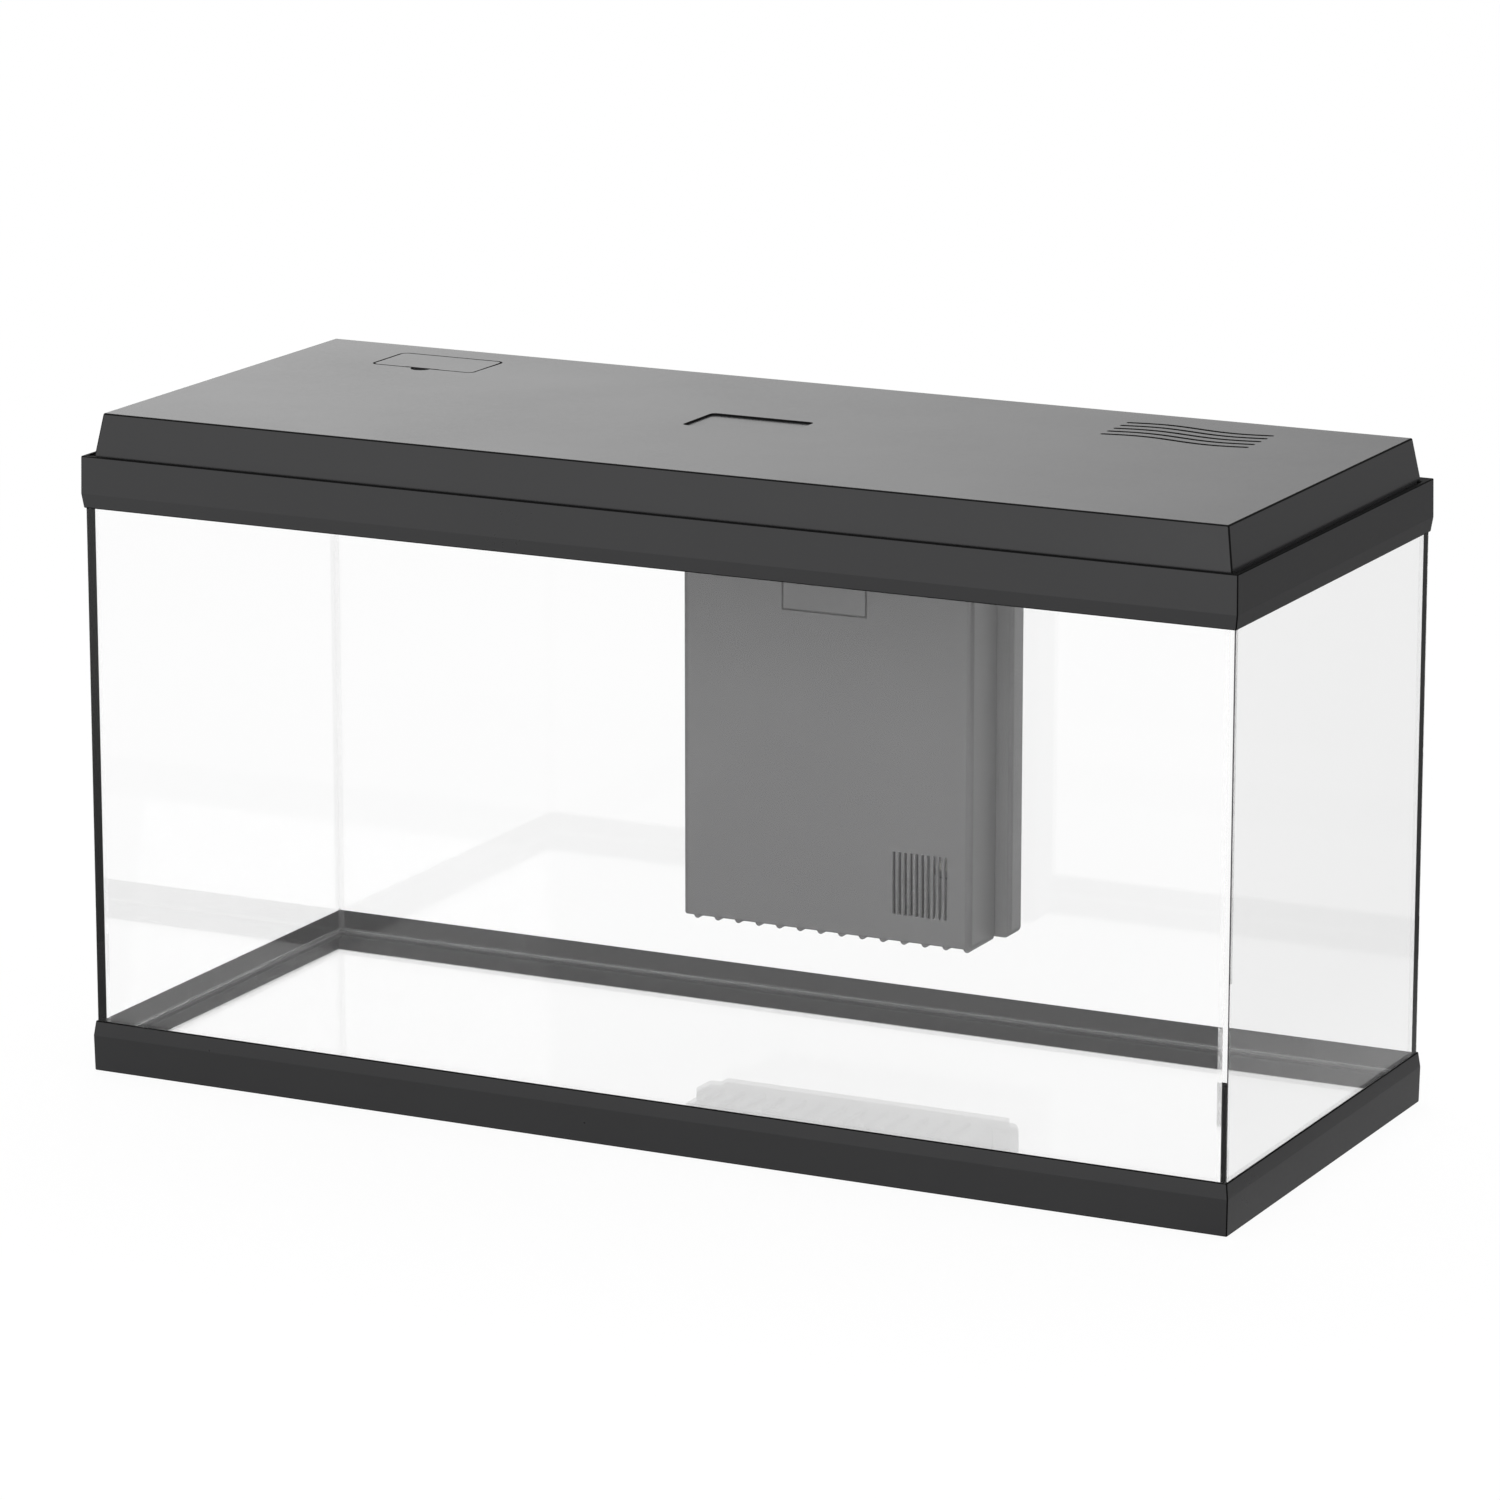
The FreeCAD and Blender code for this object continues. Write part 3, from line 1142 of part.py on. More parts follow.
def nozzle_collar():
    """Socket ring in front of the panel that holds the nozzle's ball."""
    front_y = BALL_Y - COLLAR_GRIP
    ring = rod(COLLAR_RADIUS, on_outlet_axis(front_y), on_outlet_axis(FILTER_FRONT_Y))
    seat = Part.makeSphere(BALL_RADIUS + BALL_CLEARANCE, on_outlet_axis(BALL_Y))
    throat = rod(ELBOW_RADIUS, on_outlet_axis(BALL_Y), on_outlet_axis(FILTER_FRONT_Y))
    return without(ring, [seat, throat])


def outlet_nozzle():
    """Ball with a bored stem that flares at its mouth."""
    tip_y = BALL_Y - NOZZLE_LENGTH
    flare_y = tip_y + NOZZLE_FLARE_LENGTH
    ball = Part.makeSphere(BALL_RADIUS, on_outlet_axis(BALL_Y))
    back = rod(BALL_RADIUS, on_outlet_axis(BALL_Y + BALL_RADIUS / 2), on_outlet_axis(FILTER_SEAM_Y))
    stem = rod(NOZZLE_RADIUS, on_outlet_axis(BALL_Y), on_outlet_axis(flare_y))
    flare = Part.makeCone(NOZZLE_FLARE, NOZZLE_RADIUS, NOZZLE_FLARE_LENGTH, on_outlet_axis(tip_y), Y_AXIS)
    bore = rod(NOZZLE_BORE, on_outlet_axis(tip_y), on_outlet_axis(BALL_Y + BALL_RADIUS))
    return without(joined([ball, stem, flare]), [back, bore])


def filter_lid():
    """Lid over both shells, with a locating lip inside them."""
    z1 = FILTER_TOP + LID_THICKNESS
    x0 = FILTER_X0 - FILTER_FLANGE
    x1 = FILTER_X1 + FILTER_FLANGE
    rear_y = FILTER_REAR_Y - LID_REAR_INSET
    wide = block(x0, x1, FILTER_SEAM_Y, FLANGE_REAR_Y, FILTER_TOP, z1)
    long = block(FILTER_X0, FILTER_X1, FILTER_FRONT_Y, rear_y, FILTER_TOP, z1)
    plate = joined([wide, long])
    z0 = FILTER_TOP - LID_LIP_DEPTH
    gap = SEAT_CLEARANCE
    lip = block(CHAMBER_X0 + gap, CHAMBER_X1 - gap, CHAMBER_Y0 + gap, CHAMBER_Y1 - gap, z0, FILTER_TOP)
    inset = gap + LID_LIP_THICKNESS
    core = block(CHAMBER_X0 + inset, CHAMBER_X1 - inset, CHAMBER_Y0 + inset, CHAMBER_Y1 - inset,
                 z0, FILTER_TOP)
    return joined([plate, lip.cut(core)])


# ---- Heater ----
def on_heater_axis(z):
    return Vector(HEATER_X, HEATER_Y, z)


def round_ended_rod(radius, bottom, top):
    """A vertical rod whose lower end is a half ball."""
    ball = Part.makeSphere(radius, on_heater_axis(bottom + radius))
    return joined([ball, rod(radius, on_heater_axis(bottom + radius), on_heater_axis(top))])


def heater_tube():
    outside = round_ended_rod(HEATER_TUBE_RADIUS, HEATER_Z, HEATER_HEAD_Z)
    inner_radius = HEATER_TUBE_RADIUS - HEATER_TUBE_WALL
    return outside.cut(round_ended_rod(inner_radius, HEATER_Z + HEATER_TUBE_WALL, HEATER_HEAD_Z))


def heater_core():
    """Ceramic heating core that hangs from the head."""
    bottom = HEATER_Z + HEATER_TUBE_WALL + HEATER_CORE_GAP
    return rod(HEATER_CORE_RADIUS, on_heater_axis(bottom), on_heater_axis(HEATER_HEAD_Z))


def heater_head():
    """Head that seals the tube, with the seat of the knob's spindle."""
    top = HEATER_HEAD_Z + HEATER_HEAD_LENGTH
    body = rod(HEATER_HEAD_RADIUS, on_heater_axis(HEATER_HEAD_Z), on_heater_axis(top))
    depth = HEATER_SPINDLE_LENGTH + SEAT_CLEARANCE
    seat = rod(HEATER_SPINDLE_RADIUS + PIN_CLEARANCE, on_heater_axis(top - depth), on_heater_axis(top))
    return body.cut(seat)


def heater_knob():
    """Setting knob with a pointer ridge across its top."""
    top = KNOB_Z + HEATER_KNOB_HEIGHT
    ridge_z = top - HEATER_KNOB_RIDGE
    disc = rod(HEATER_KNOB_RADIUS, on_heater_axis(KNOB_Z), on_heater_axis(ridge_z))
    half = HEATER_KNOB_RIDGE / 2
    ridge = block(HEATER_X - half, HEATER_X + half, HEATER_Y - HEATER_KNOB_RADIUS, HEATER_Y, ridge_z, top)
    spindle = rod(HEATER_SPINDLE_RADIUS, on_heater_axis(KNOB_Z - HEATER_SPINDLE_LENGTH),
                  on_heater_axis(KNOB_Z))
    return joined([disc, ridge, spindle])


def heater_clips():
    """Two rings round the heater, each on an arm from the back wall."""
    inner = HEATER_TUBE_RADIUS + PIN_CLEARANCE
    outer = inner + CLIP_WALL
    first = HEATER_Z + CLIP_FIRST_RISE
    last = HEATER_HEAD_Z - CLIP_LAST_DROP - CLIP_HEIGHT
    pitch = (last - first) / (CLIP_COUNT - 1)
    clips = []
    for number in range(CLIP_COUNT):
        z0 = first + pitch * number
        z1 = z0 + CLIP_HEIGHT
        ring = rod(outer, on_heater_axis(z0), on_heater_axis(z1))
        half = CLIP_ARM_WIDTH / 2
        arm = block(HEATER_X - half, HEATER_X + half, HEATER_Y, CHAMBER_Y1, z0, z1)
        foot_half = CLIP_FOOT_WIDTH / 2
        foot_y = CHAMBER_Y1 - CLIP_FOOT_THICKNESS
        foot = block(HEATER_X - foot_half, HEATER_X + foot_half, foot_y, CHAMBER_Y1, z0, z1)
        bore = rod(inner, on_heater_axis(z0), on_heater_axis(z1))
        clips.append(joined([ring, arm, foot]).cut(bore))
    return Part.makeCompound(clips)


SUB_PARTS = [
    front_pane, rear_pane, left_pane, right_pane, floor_pane, corner_seals, floor_seal,
    base_frame, top_rim,
    hinge_bracket_left, hinge_bracket_right, hinge_pin_left, hinge_pin_right, hinge_screws,
    hood_shell, feeding_flap,
    lamp_housing, lamp_board, led_chips, lamp_lens, lamp_end_left, lamp_end_right,
    lamp_gland, lamp_screws,
    filter_front, filter_back, fixing_pads, chamber_divider, media_grid, coarse_sponge,
    fine_sponge, media_basket, ceramic_rings, pump_tray,
    pump_motor, pump_volute, impeller_shaft, impeller, pump_feet,
    outlet_elbow, outlet_panel, nozzle_collar, outlet_nozzle, filter_lid,
    heater_tube, heater_core, heater_head, heater_knob, heater_clips,
]


def main():
    os.makedirs("parts", exist_ok=True)
    for make in SUB_PARTS:
        make().exportStep("parts/" + make.__name__ + ".step")


main()
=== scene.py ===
"""Looks for a glass aquarium tank with a black base, a black rim, a lift-up lighting hood
and a grey internal filter.

The file is laid out as an add-on and is run as a script: it registers its settings, operators
and panel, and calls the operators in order.
"""

import math

import bmesh
import bpy
from bpy.props import FloatProperty, FloatVectorProperty, PointerProperty
from mathutils import Matrix, Vector, noise


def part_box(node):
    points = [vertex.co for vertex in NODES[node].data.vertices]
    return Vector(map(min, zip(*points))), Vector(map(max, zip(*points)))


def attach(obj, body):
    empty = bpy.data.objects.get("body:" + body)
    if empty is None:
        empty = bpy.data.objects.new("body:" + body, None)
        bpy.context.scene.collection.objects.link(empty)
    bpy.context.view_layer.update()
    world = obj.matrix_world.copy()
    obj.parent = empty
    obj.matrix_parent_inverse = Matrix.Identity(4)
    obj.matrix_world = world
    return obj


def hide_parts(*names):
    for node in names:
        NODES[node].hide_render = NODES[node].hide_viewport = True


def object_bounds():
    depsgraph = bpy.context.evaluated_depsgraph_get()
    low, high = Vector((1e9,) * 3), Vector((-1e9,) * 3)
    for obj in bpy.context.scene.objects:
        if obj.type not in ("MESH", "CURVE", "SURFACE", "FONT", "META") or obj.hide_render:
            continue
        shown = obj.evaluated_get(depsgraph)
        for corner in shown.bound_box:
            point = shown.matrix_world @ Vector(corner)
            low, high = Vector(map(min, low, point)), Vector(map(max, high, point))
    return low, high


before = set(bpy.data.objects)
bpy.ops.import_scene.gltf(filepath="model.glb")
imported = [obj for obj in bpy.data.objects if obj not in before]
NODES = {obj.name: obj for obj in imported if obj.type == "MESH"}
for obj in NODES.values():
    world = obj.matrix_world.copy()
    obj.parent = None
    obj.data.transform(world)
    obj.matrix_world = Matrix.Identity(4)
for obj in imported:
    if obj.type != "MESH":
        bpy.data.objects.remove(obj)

bl_info = {
    "name": "Aquarium tank looks",
    "version": (1, 0, 0),
    "blender": (4, 5, 0),
    "location": "View3D > Sidebar > Aquarium",
    "description": "Builds the visible pieces, finishes and stage of a glass aquarium tank",
    "category": "Object",
}

CAD_LOW, CAD_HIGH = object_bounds()

# Points closer than this are one point, and faces closer than the next are level.
MERGE_DISTANCE = 0.000002
LEVEL_TOLERANCE = 0.00002
# Faces that turn by less than this become one face; edges that turn by more stay sharp.
FLAT_ANGLE = math.radians(0.4)
SMOOTH_ANGLE = math.radians(38)
# Faces from this area up are shaded flat.
FLAT_AREA = 0.0004
# A normal lies along an axis above the first share of it, and across it below the second.
AXIS_MATCH = 0.9995
AXIS_MISS = 0.5
# An edge counts as outward from this turn, and a face as outer if less of its piece is in front.
OUTWARD_TURN = math.radians(40)
OUTER_SHARE = 0.35
# Widths left out around the hood's top and around the filter's front.
HOOD_OUTLINE = 0.009
FILTER_OUTLINE = 0.008
MM_PER_METRE = 1000.0
# Places of a piece's finishes in its list. On the glass the second holds the ground edge; on the
# black pieces and the filter it holds painted shade; the third holds a painted dark line along
# the filter's sharp edges, and the fourth painted light on the walls of the filter's slots.
PLAIN, EDGE, SHADED_LINE, SLOT = range(4)


# ---- Shader helpers ----
def add(tree, kind, **values):
    """Adds a shader node; a value sets the node's attribute or else the socket of its name."""
    node = tree.nodes.new(kind)
    for key, value in values.items():
        if hasattr(node, key):
            setattr(node, key, value)
        else:
            node.inputs[key.replace("_", " ")].default_value = value
    return node


def link(tree, *pairs):
    """Links each output to the input beside it."""
    for source, target in pairs:
        tree.links.new(source, target)


def rgba(colour):
    return (*colour, 1.0)


def shaded(colour, share):
    """The colour made darker or lighter by a share of itself."""
    return tuple(share * part for part in colour)


def new_group(name, inputs, outputs):
    """Starts a shader node group with named sockets and returns the tree and its two ends."""
    tree = bpy.data.node_groups.new(name, "ShaderNodeTree")
    for label, kind, value in inputs:
        socket = tree.interface.new_socket(label, in_out="INPUT", socket_type=kind)
        socket.default_value = value
    for label, kind in outputs:
        tree.interface.new_socket(label, in_out="OUTPUT", socket_type=kind)
    return tree, tree.nodes.new("NodeGroupInput"), tree.nodes.new("NodeGroupOutput")


def noise_at(tree, coordinates, scale, detail=3.0):
    """Soft noise from 0 to 1; the scale is a number or a socket."""
    texture = add(tree, "ShaderNodeTexNoise", Detail=detail)
    link(tree, (coordinates, texture.inputs["Vector"]))
    if isinstance(scale, (int, float)):
        texture.inputs["Scale"].default_value = scale
    else:
        link(tree, (scale, texture.inputs["Scale"]))
    return texture.outputs["Fac"]


def maths(tree, operation, first, second, third=None):
    """One step of arithmetic on numbers or sockets."""
    node = add(tree, "ShaderNodeMath", operation=operation)
    for socket, value in zip(node.inputs, (first, second, third)):
        if value is None:
            continue
        if isinstance(value, (int, float)):
            socket.default_value = value
        else:
            link(tree, (value, socket))
    return node.outputs[0]


def centred(tree, value):
    """Shifts noise so that its middle is 0."""
    return maths(tree, "SUBTRACT", value, 0.5)


def mixed_colour(tree, factor, first, second):
    """Goes from the first colour to the second as the factor goes from 0 to 1."""
    node = add(tree, "ShaderNodeMix", data_type="RGBA")
    link(tree, (factor, node.inputs[0]))
    node.inputs[6].default_value = rgba(first)
    node.inputs[7].default_value = rgba(second)
    return node.outputs[2]


SURFACE_OUTPUTS = (
    ("Colour", "NodeSocketColor"),
    ("Roughness", "NodeSocketFloat"),
    ("Normal", "NodeSocketVector"),
)


def moulded_group():
    """Fine grain, soft mottling and uneven gloss, as on injection-moulded plastic."""
    inputs = [
        ("Colour", "NodeSocketColor", (0.5, 0.5, 0.5, 1.0)),
        ("Mottle", "NodeSocketFloat", 0.1),
        ("Grain scale", "NodeSocketFloat", 1500.0),
        ("Grain depth", "NodeSocketFloat", 0.00002),
        ("Roughness", "NodeSocketFloat", 0.4),
        ("Unevenness", "NodeSocketFloat", 0.08),
    ]
    tree, start, end = new_group("Moulded surface", inputs, SURFACE_OUTPUTS)
    place = add(tree, "ShaderNodeTexCoord").outputs["Object"]
    grain = noise_at(tree, place, start.outputs["Grain scale"], detail=2.0)
    cloud = noise_at(tree, place, scale=9.0, detail=5.0)
    speck = noise_at(tree, place, scale=260.0, detail=2.0)
    speck_share = 0.5
    shift = centred(tree, cloud)
    shade = maths(tree, "MULTIPLY_ADD", shift, start.outputs["Mottle"], 1.0)
    tint = add(tree, "ShaderNodeVectorMath", operation="SCALE")
    link(tree, (start.outputs["Colour"], tint.inputs[0]), (shade, tint.inputs["Scale"]))
    mix = maths(tree, "MULTIPLY_ADD", centred(tree, speck), speck_share, shift)
    rough = maths(
        tree, "MULTIPLY_ADD", mix, start.outputs["Unevenness"], start.outputs["Roughness"],
    )
    bump = add(tree, "ShaderNodeBump", Strength=1.0)
    link(
        tree,
        (grain, bump.inputs["Height"]),
        (start.outputs["Grain depth"], bump.inputs["Distance"]),
        (tint.outputs[0], end.inputs["Colour"]),
        (rough, end.inputs["Roughness"]),
        (bump.outputs[0], end.inputs["Normal"]),
    )
    return tree


def brushed_group():
    """Long fine streaks along X, as on rolled or brushed metal."""
    inputs = [
        ("Colour", "NodeSocketColor", (0.6, 0.6, 0.6, 1.0)),
        ("Roughness", "NodeSocketFloat", 0.3),
        ("Streaks", "NodeSocketFloat", 0.12),
        ("Depth", "NodeSocketFloat", 0.00001),
    ]
    tree, start, end = new_group("Brushed metal", inputs, SURFACE_OUTPUTS)
    place = add(tree, "ShaderNodeTexCoord").outputs["Object"]
    stretch = add(tree, "ShaderNodeMapping", Scale=(12.0, 900.0, 900.0))
    link(tree, (place, stretch.inputs["Vector"]))
    streak = noise_at(tree, stretch.outputs[0], scale=1.0, detail=4.0)
    cloud = noise_at(tree, place, scale=25.0)
    mottle = 0.2
    shift = centred(tree, streak)
    rough = maths(
        tree, "MULTIPLY_ADD", shift, start.outputs["Streaks"], start.outputs["Roughness"],
    )
    shade = maths(tree, "MULTIPLY_ADD", centred(tree, cloud), mottle, 1.0)
    tint = add(tree, "ShaderNodeVectorMath", operation="SCALE")
    bump = add(tree, "ShaderNodeBump", Strength=1.0)
    link(
        tree,
        (start.outputs["Colour"], tint.inputs[0]),
        (shade, tint.inputs["Scale"]),
        (streak, bump.inputs["Height"]),
        (start.outputs["Depth"], bump.inputs["Distance"]),
        (tint.outputs[0], end.inputs["Colour"]),
        (rough, end.inputs["Roughness"]),
        (bump.outputs[0], end.inputs["Normal"]),
    )
    return tree


def group_named(name, maker):
    """The shader group of that name, made the first time that it is asked for."""
    return bpy.data.node_groups.get(name) or maker()


def blank_material(name):
    """An empty node material and its tree."""
    material = bpy.data.materials.new(name)
    material.use_nodes = True
    material.node_tree.nodes.clear()
    return material, material.node_tree


def surfaced(name, group, given, **sockets):
    """A material whose colour, roughness and normal come from a shader node group."""
    material, tree = blank_material(name)
    surface = add(tree, "ShaderNodeGroup", node_tree=group)
    for key, value in given.items():
        surface.inputs[key].default_value = value
    shader = add(tree, "ShaderNodeBsdfPrincipled", **sockets)
    output = add(tree, "ShaderNodeOutputMaterial")
    link(
        tree,
        (surface.outputs["Colour"], shader.inputs["Base Color"]),
        (surface.outputs["Roughness"], shader.inputs["Roughness"]),
        (surface.outputs["Normal"], shader.inputs["Normal"]),
        (shader.outputs[0], output.inputs["Surface"]),
    )
    return material


def moulded(name, colour, roughness, grain=0.00002, scale=1500.0, mottle=0.12, **sockets):
    """Moulded plastic or rubber; further values are set on the shader's own sockets."""
    given = {
        "Colour": rgba(colour),
        "Mottle": mottle,
        "Grain scale": scale,
        "Grain depth": grain,
        "Roughness": roughness,
        "Unevenness": 0.1,
    }
    return surfaced(name, group_named("Moulded surface", moulded_group), given, **sockets)


def metal(name, colour, roughness):
    """Rolled or brushed metal."""
    given = {"Colour": rgba(colour), "Roughness": roughness, "Streaks": 0.12, "Depth": 0.00001}
    return surfaced(name, group_named("Brushed metal", brushed_group), given, Metallic=1.0)


def clear(name, tint, ior, smooth, rough, cloud_scale=4.0):
    """Glass or clear plastic with faint uneven gloss; lamp light passes straight through it."""
    material, tree = blank_material(name)
    place = add(tree, "ShaderNodeTexCoord").outputs["Object"]
    cloud = noise_at(tree, place, cloud_scale, detail=6.0)
    spread = add(
        tree, "ShaderNodeMapRange", From_Min=0.35, From_Max=0.8, To_Min=smooth, To_Max=rough,
    )
    shader = add(tree, "ShaderNodeBsdfPrincipled", IOR=ior, Transmission_Weight=1.0)
    shader.inputs["Base Color"].default_value = rgba(tint)
    through = add(tree, "ShaderNodeBsdfTransparent")
    through.inputs["Color"].default_value = rgba(tint)
    path = add(tree, "ShaderNodeLightPath")
    blend = add(tree, "ShaderNodeMixShader")
    output = add(tree, "ShaderNodeOutputMaterial")
    link(
        tree,
        (cloud, spread.inputs["Value"]),
        (spread.outputs[0], shader.inputs["Roughness"]),
        (path.outputs["Is Shadow Ray"], blend.inputs["Fac"]),
        (shader.outputs[0], blend.inputs[1]),
        (through.outputs[0], blend.inputs[2]),
        (blend.outputs[0], output.inputs["Surface"]),
    )
    return material


def film(name, colour, cover, roughness):
    """A nearly clear skin, such as cured silicone, that lets most light pass straight through."""
    material, tree = blank_material(name)
    place = add(tree, "ShaderNodeTexCoord").outputs["Object"]
    ripple = noise_at(tree, place, scale=140.0)
    haze = noise_at(tree, place, scale=35.0)
    less, more = 0.7, 1.3
    opacity = add(tree, "ShaderNodeMapRange", To_Min=cover * less, To_Max=cover * more)
    gloss = add(tree, "ShaderNodeMapRange", To_Min=roughness * less, To_Max=roughness * more)
    bump = add(tree, "ShaderNodeBump", Strength=1.0, Distance=0.0002)
    shader = add(tree, "ShaderNodeBsdfPrincipled", IOR=1.41)
    shader.inputs["Base Color"].default_value = rgba(colour)
    output = add(tree, "ShaderNodeOutputMaterial")
    link(
        tree,
        (haze, opacity.inputs["Value"]),
        (ripple, gloss.inputs["Value"]),
        (ripple, bump.inputs["Height"]),
        (opacity.outputs[0], shader.inputs["Alpha"]),
        (gloss.outputs[0], shader.inputs["Roughness"]),
        (bump.outputs[0], shader.inputs["Normal"]),
        (shader.outputs[0], output.inputs["Surface"]),
    )
    return material


def wound(name, core_colour, wire_colour, turns):
    """A ceramic core wound with a fine heating wire."""
    material, tree = blank_material(name)
    place = add(tree, "ShaderNodeTexCoord").outputs["Object"]
    wire = add(
        tree, "ShaderNodeTexWave", bands_direction="Z", Scale=turns, Distortion=0.4, Detail=1.0,
    )
    ridge = add(tree, "ShaderNodeMapRange", From_Min=0.45, From_Max=0.6)
    tone = mixed_colour(tree, ridge.outputs[0], core_colour, wire_colour)
    gloss = add(tree, "ShaderNodeMapRange", To_Min=0.75, To_Max=0.35)
    bump = add(tree, "ShaderNodeBump", Strength=1.0, Distance=0.0003)
    shader = add(tree, "ShaderNodeBsdfPrincipled")
    output = add(tree, "ShaderNodeOutputMaterial")
    link(
        tree,
        (place, wire.inputs["Vector"]),
        (wire.outputs["Fac"], ridge.inputs["Value"]),
        (tone, shader.inputs["Base Color"]),
        (ridge.outputs[0], gloss.inputs["Value"]),
        (gloss.outputs[0], shader.inputs["Roughness"]),
        (ridge.outputs[0], bump.inputs["Height"]),
        (bump.outputs[0], shader.inputs["Normal"]),
        (shader.outputs[0], output.inputs["Surface"]),
    )
    return material


def foam(name, colour, pore_scale, depth):
    """Open-cell foam: pores painted dark as shade, between bright struts."""
    material, tree = blank_material(name)
    place = add(tree, "ShaderNodeTexCoord").outputs["Object"]
    cells = add(tree, "ShaderNodeTexVoronoi", Scale=pore_scale)
    link(tree, (place, cells.inputs["Vector"]))
    pores = add(tree, "ShaderNodeMapRange", From_Min=0.15, From_Max=0.7)
    # The pores take 0.12 of the foam's colour as painted shade.
    tone = mixed_colour(tree, pores.outputs[0], shaded(colour, 0.12), colour)
    bump = add(tree, "ShaderNodeBump", Strength=1.0, Distance=depth)
    shader = add(tree, "ShaderNodeBsdfPrincipled", Roughness=0.92, Sheen_Weight=0.25)
    output = add(tree, "ShaderNodeOutputMaterial")
    link(
        tree,
        (cells.outputs["Distance"], pores.inputs["Value"]),
        (tone, shader.inputs["Base Color"]),
        (cells.outputs["Distance"], bump.inputs["Height"]),
        (bump.outputs[0], shader.inputs["Normal"]),
        (shader.outputs[0], output.inputs["Surface"]),
    )
    return material


# ---- Mesh helpers ----
def new_piece(name, work, body, materials, replaced):
    """Turns a bmesh into a piece with the given finishes that rides on a body and stands for some
    nodes.
    """
    mesh = bpy.data.meshes.new(name)
    work.normal_update()
    work.to_mesh(mesh)
    work.free()
    for material in materials:
        mesh.materials.append(material)
    mesh.shade_smooth()
    mesh.set_sharp_from_angle(angle=SMOOTH_ANGLE)
    for polygon in mesh.polygons:
        polygon.use_smooth = polygon.area < FLAT_AREA
    piece = bpy.data.objects.new(name, mesh)
    bpy.context.scene.collection.objects.link(piece)
    even = piece.modifiers.new("Even shading", "WEIGHTED_NORMAL")
    even.keep_sharp = True
    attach(piece, body)
    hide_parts(*replaced)
    return piece


def dress(node, material):
    """Gives a carried-over node its finish."""
    mesh = NODES[node].data
    mesh.materials.clear()
    mesh.materials.append(material)


def merged_copy(node):
    """The node's shape as a bmesh with its loose triangles joined into whole faces."""
    work = bmesh.new()
    work.from_mesh(NODES[node].data)
    bmesh.ops.remove_doubles(work, verts=work.verts, dist=MERGE_DISTANCE)
    bmesh.ops.dissolve_limit(work, angle_limit=FLAT_ANGLE, verts=work.verts, edges=work.edges)
    for face in work.faces:
        face.material_index = PLAIN
    return work


def convex_edges(work, shortest):
    """The edges that turn outwards sharply and are longer than the shortest one wanted."""
    work.normal_update()
    whole = [edge for edge in work.edges if edge.is_manifold]
    long_edges = [edge for edge in whole if edge.calc_length() > shortest]
    return [edge for edge in long_edges if edge.calc_face_angle_signed() > OUTWARD_TURN]


def outer_edges(work, shortest):
    """The long outward edges between two faces that little of the piece stands in front of."""
    points = [vert.co.copy() for vert in work.verts]
    known = {}

    def is_outer(face):
        if face not in known:
            level = face.normal.dot(face.verts[0].co) + LEVEL_TOLERANCE
            in_front = sum(1 for point in points if face.normal.dot(point) > level)
            known[face] = in_front < OUTER_SHARE * len(points)
        return known[face]

    edges = convex_edges(work, shortest)
    return [edge for edge in edges if all(is_outer(face) for face in edge.link_faces)]


def round_edges(work, edges, radius, segments=2, finish=PLAIN):
    """Rounds edges and gives the rounded faces a finish of their own."""
    made = bmesh.ops.bevel(
        work, geom=edges, offset=radius, affect="EDGES", segments=segments, profile=0.5,
        material=-1, clamp_overlap=False,
    )
    for face in made["faces"]:
        face.material_index = finish


def finish_curves(work, finish):
    """Gives a finish of their own to the faces that lie along none of the three axes."""
    for face in work.faces:
        if max(abs(part) for part in face.normal) < AXIS_MATCH:
            face.material_index = finish


def block(low, high):
    """A block between two corners."""
    work = bmesh.new()
    place = Matrix.Translation((low + high) / 2) @ Matrix.Diagonal((*(high - low), 1.0))
    bmesh.ops.create_cube(work, size=1.0, matrix=place)
    return work


# ---- Settings ----
class TankLooks(bpy.types.PropertyGroup):
    """Glass, silicone and black trim of the tank."""

    arris: FloatProperty(
        name="Ground edge", description="Width of the ground edge on each pane",
        default=0.0004, min=0.0, max=0.002, subtype="DISTANCE", unit="LENGTH",
    )
    bond: FloatProperty(
        name="Bond gap", description="Gap that the adhesive leaves between two panes",
        default=0.00012, min=0.0, max=0.001, subtype="DISTANCE", unit="LENGTH",
    )
    glass_tint: FloatVectorProperty(
        name="Glass tint", description="Colour of light that has passed through glass",
        default=(0.99, 0.99, 0.99), size=3, min=0.0, max=1.0, subtype="COLOR",
    )
    trim_colour: FloatVectorProperty(
        name="Trim colour", description="Colour of the base frame and the top rim",
        default=(0.022, 0.022, 0.023), size=3, min=0.0, max=1.0, subtype="COLOR",
    )
    trim_round: FloatProperty(
        name="Trim edge radius",
        description="Radius of the outer edges of the base frame and the rim",
        default=0.0007, min=0.0, max=0.002, subtype="DISTANCE", unit="LENGTH",
    )


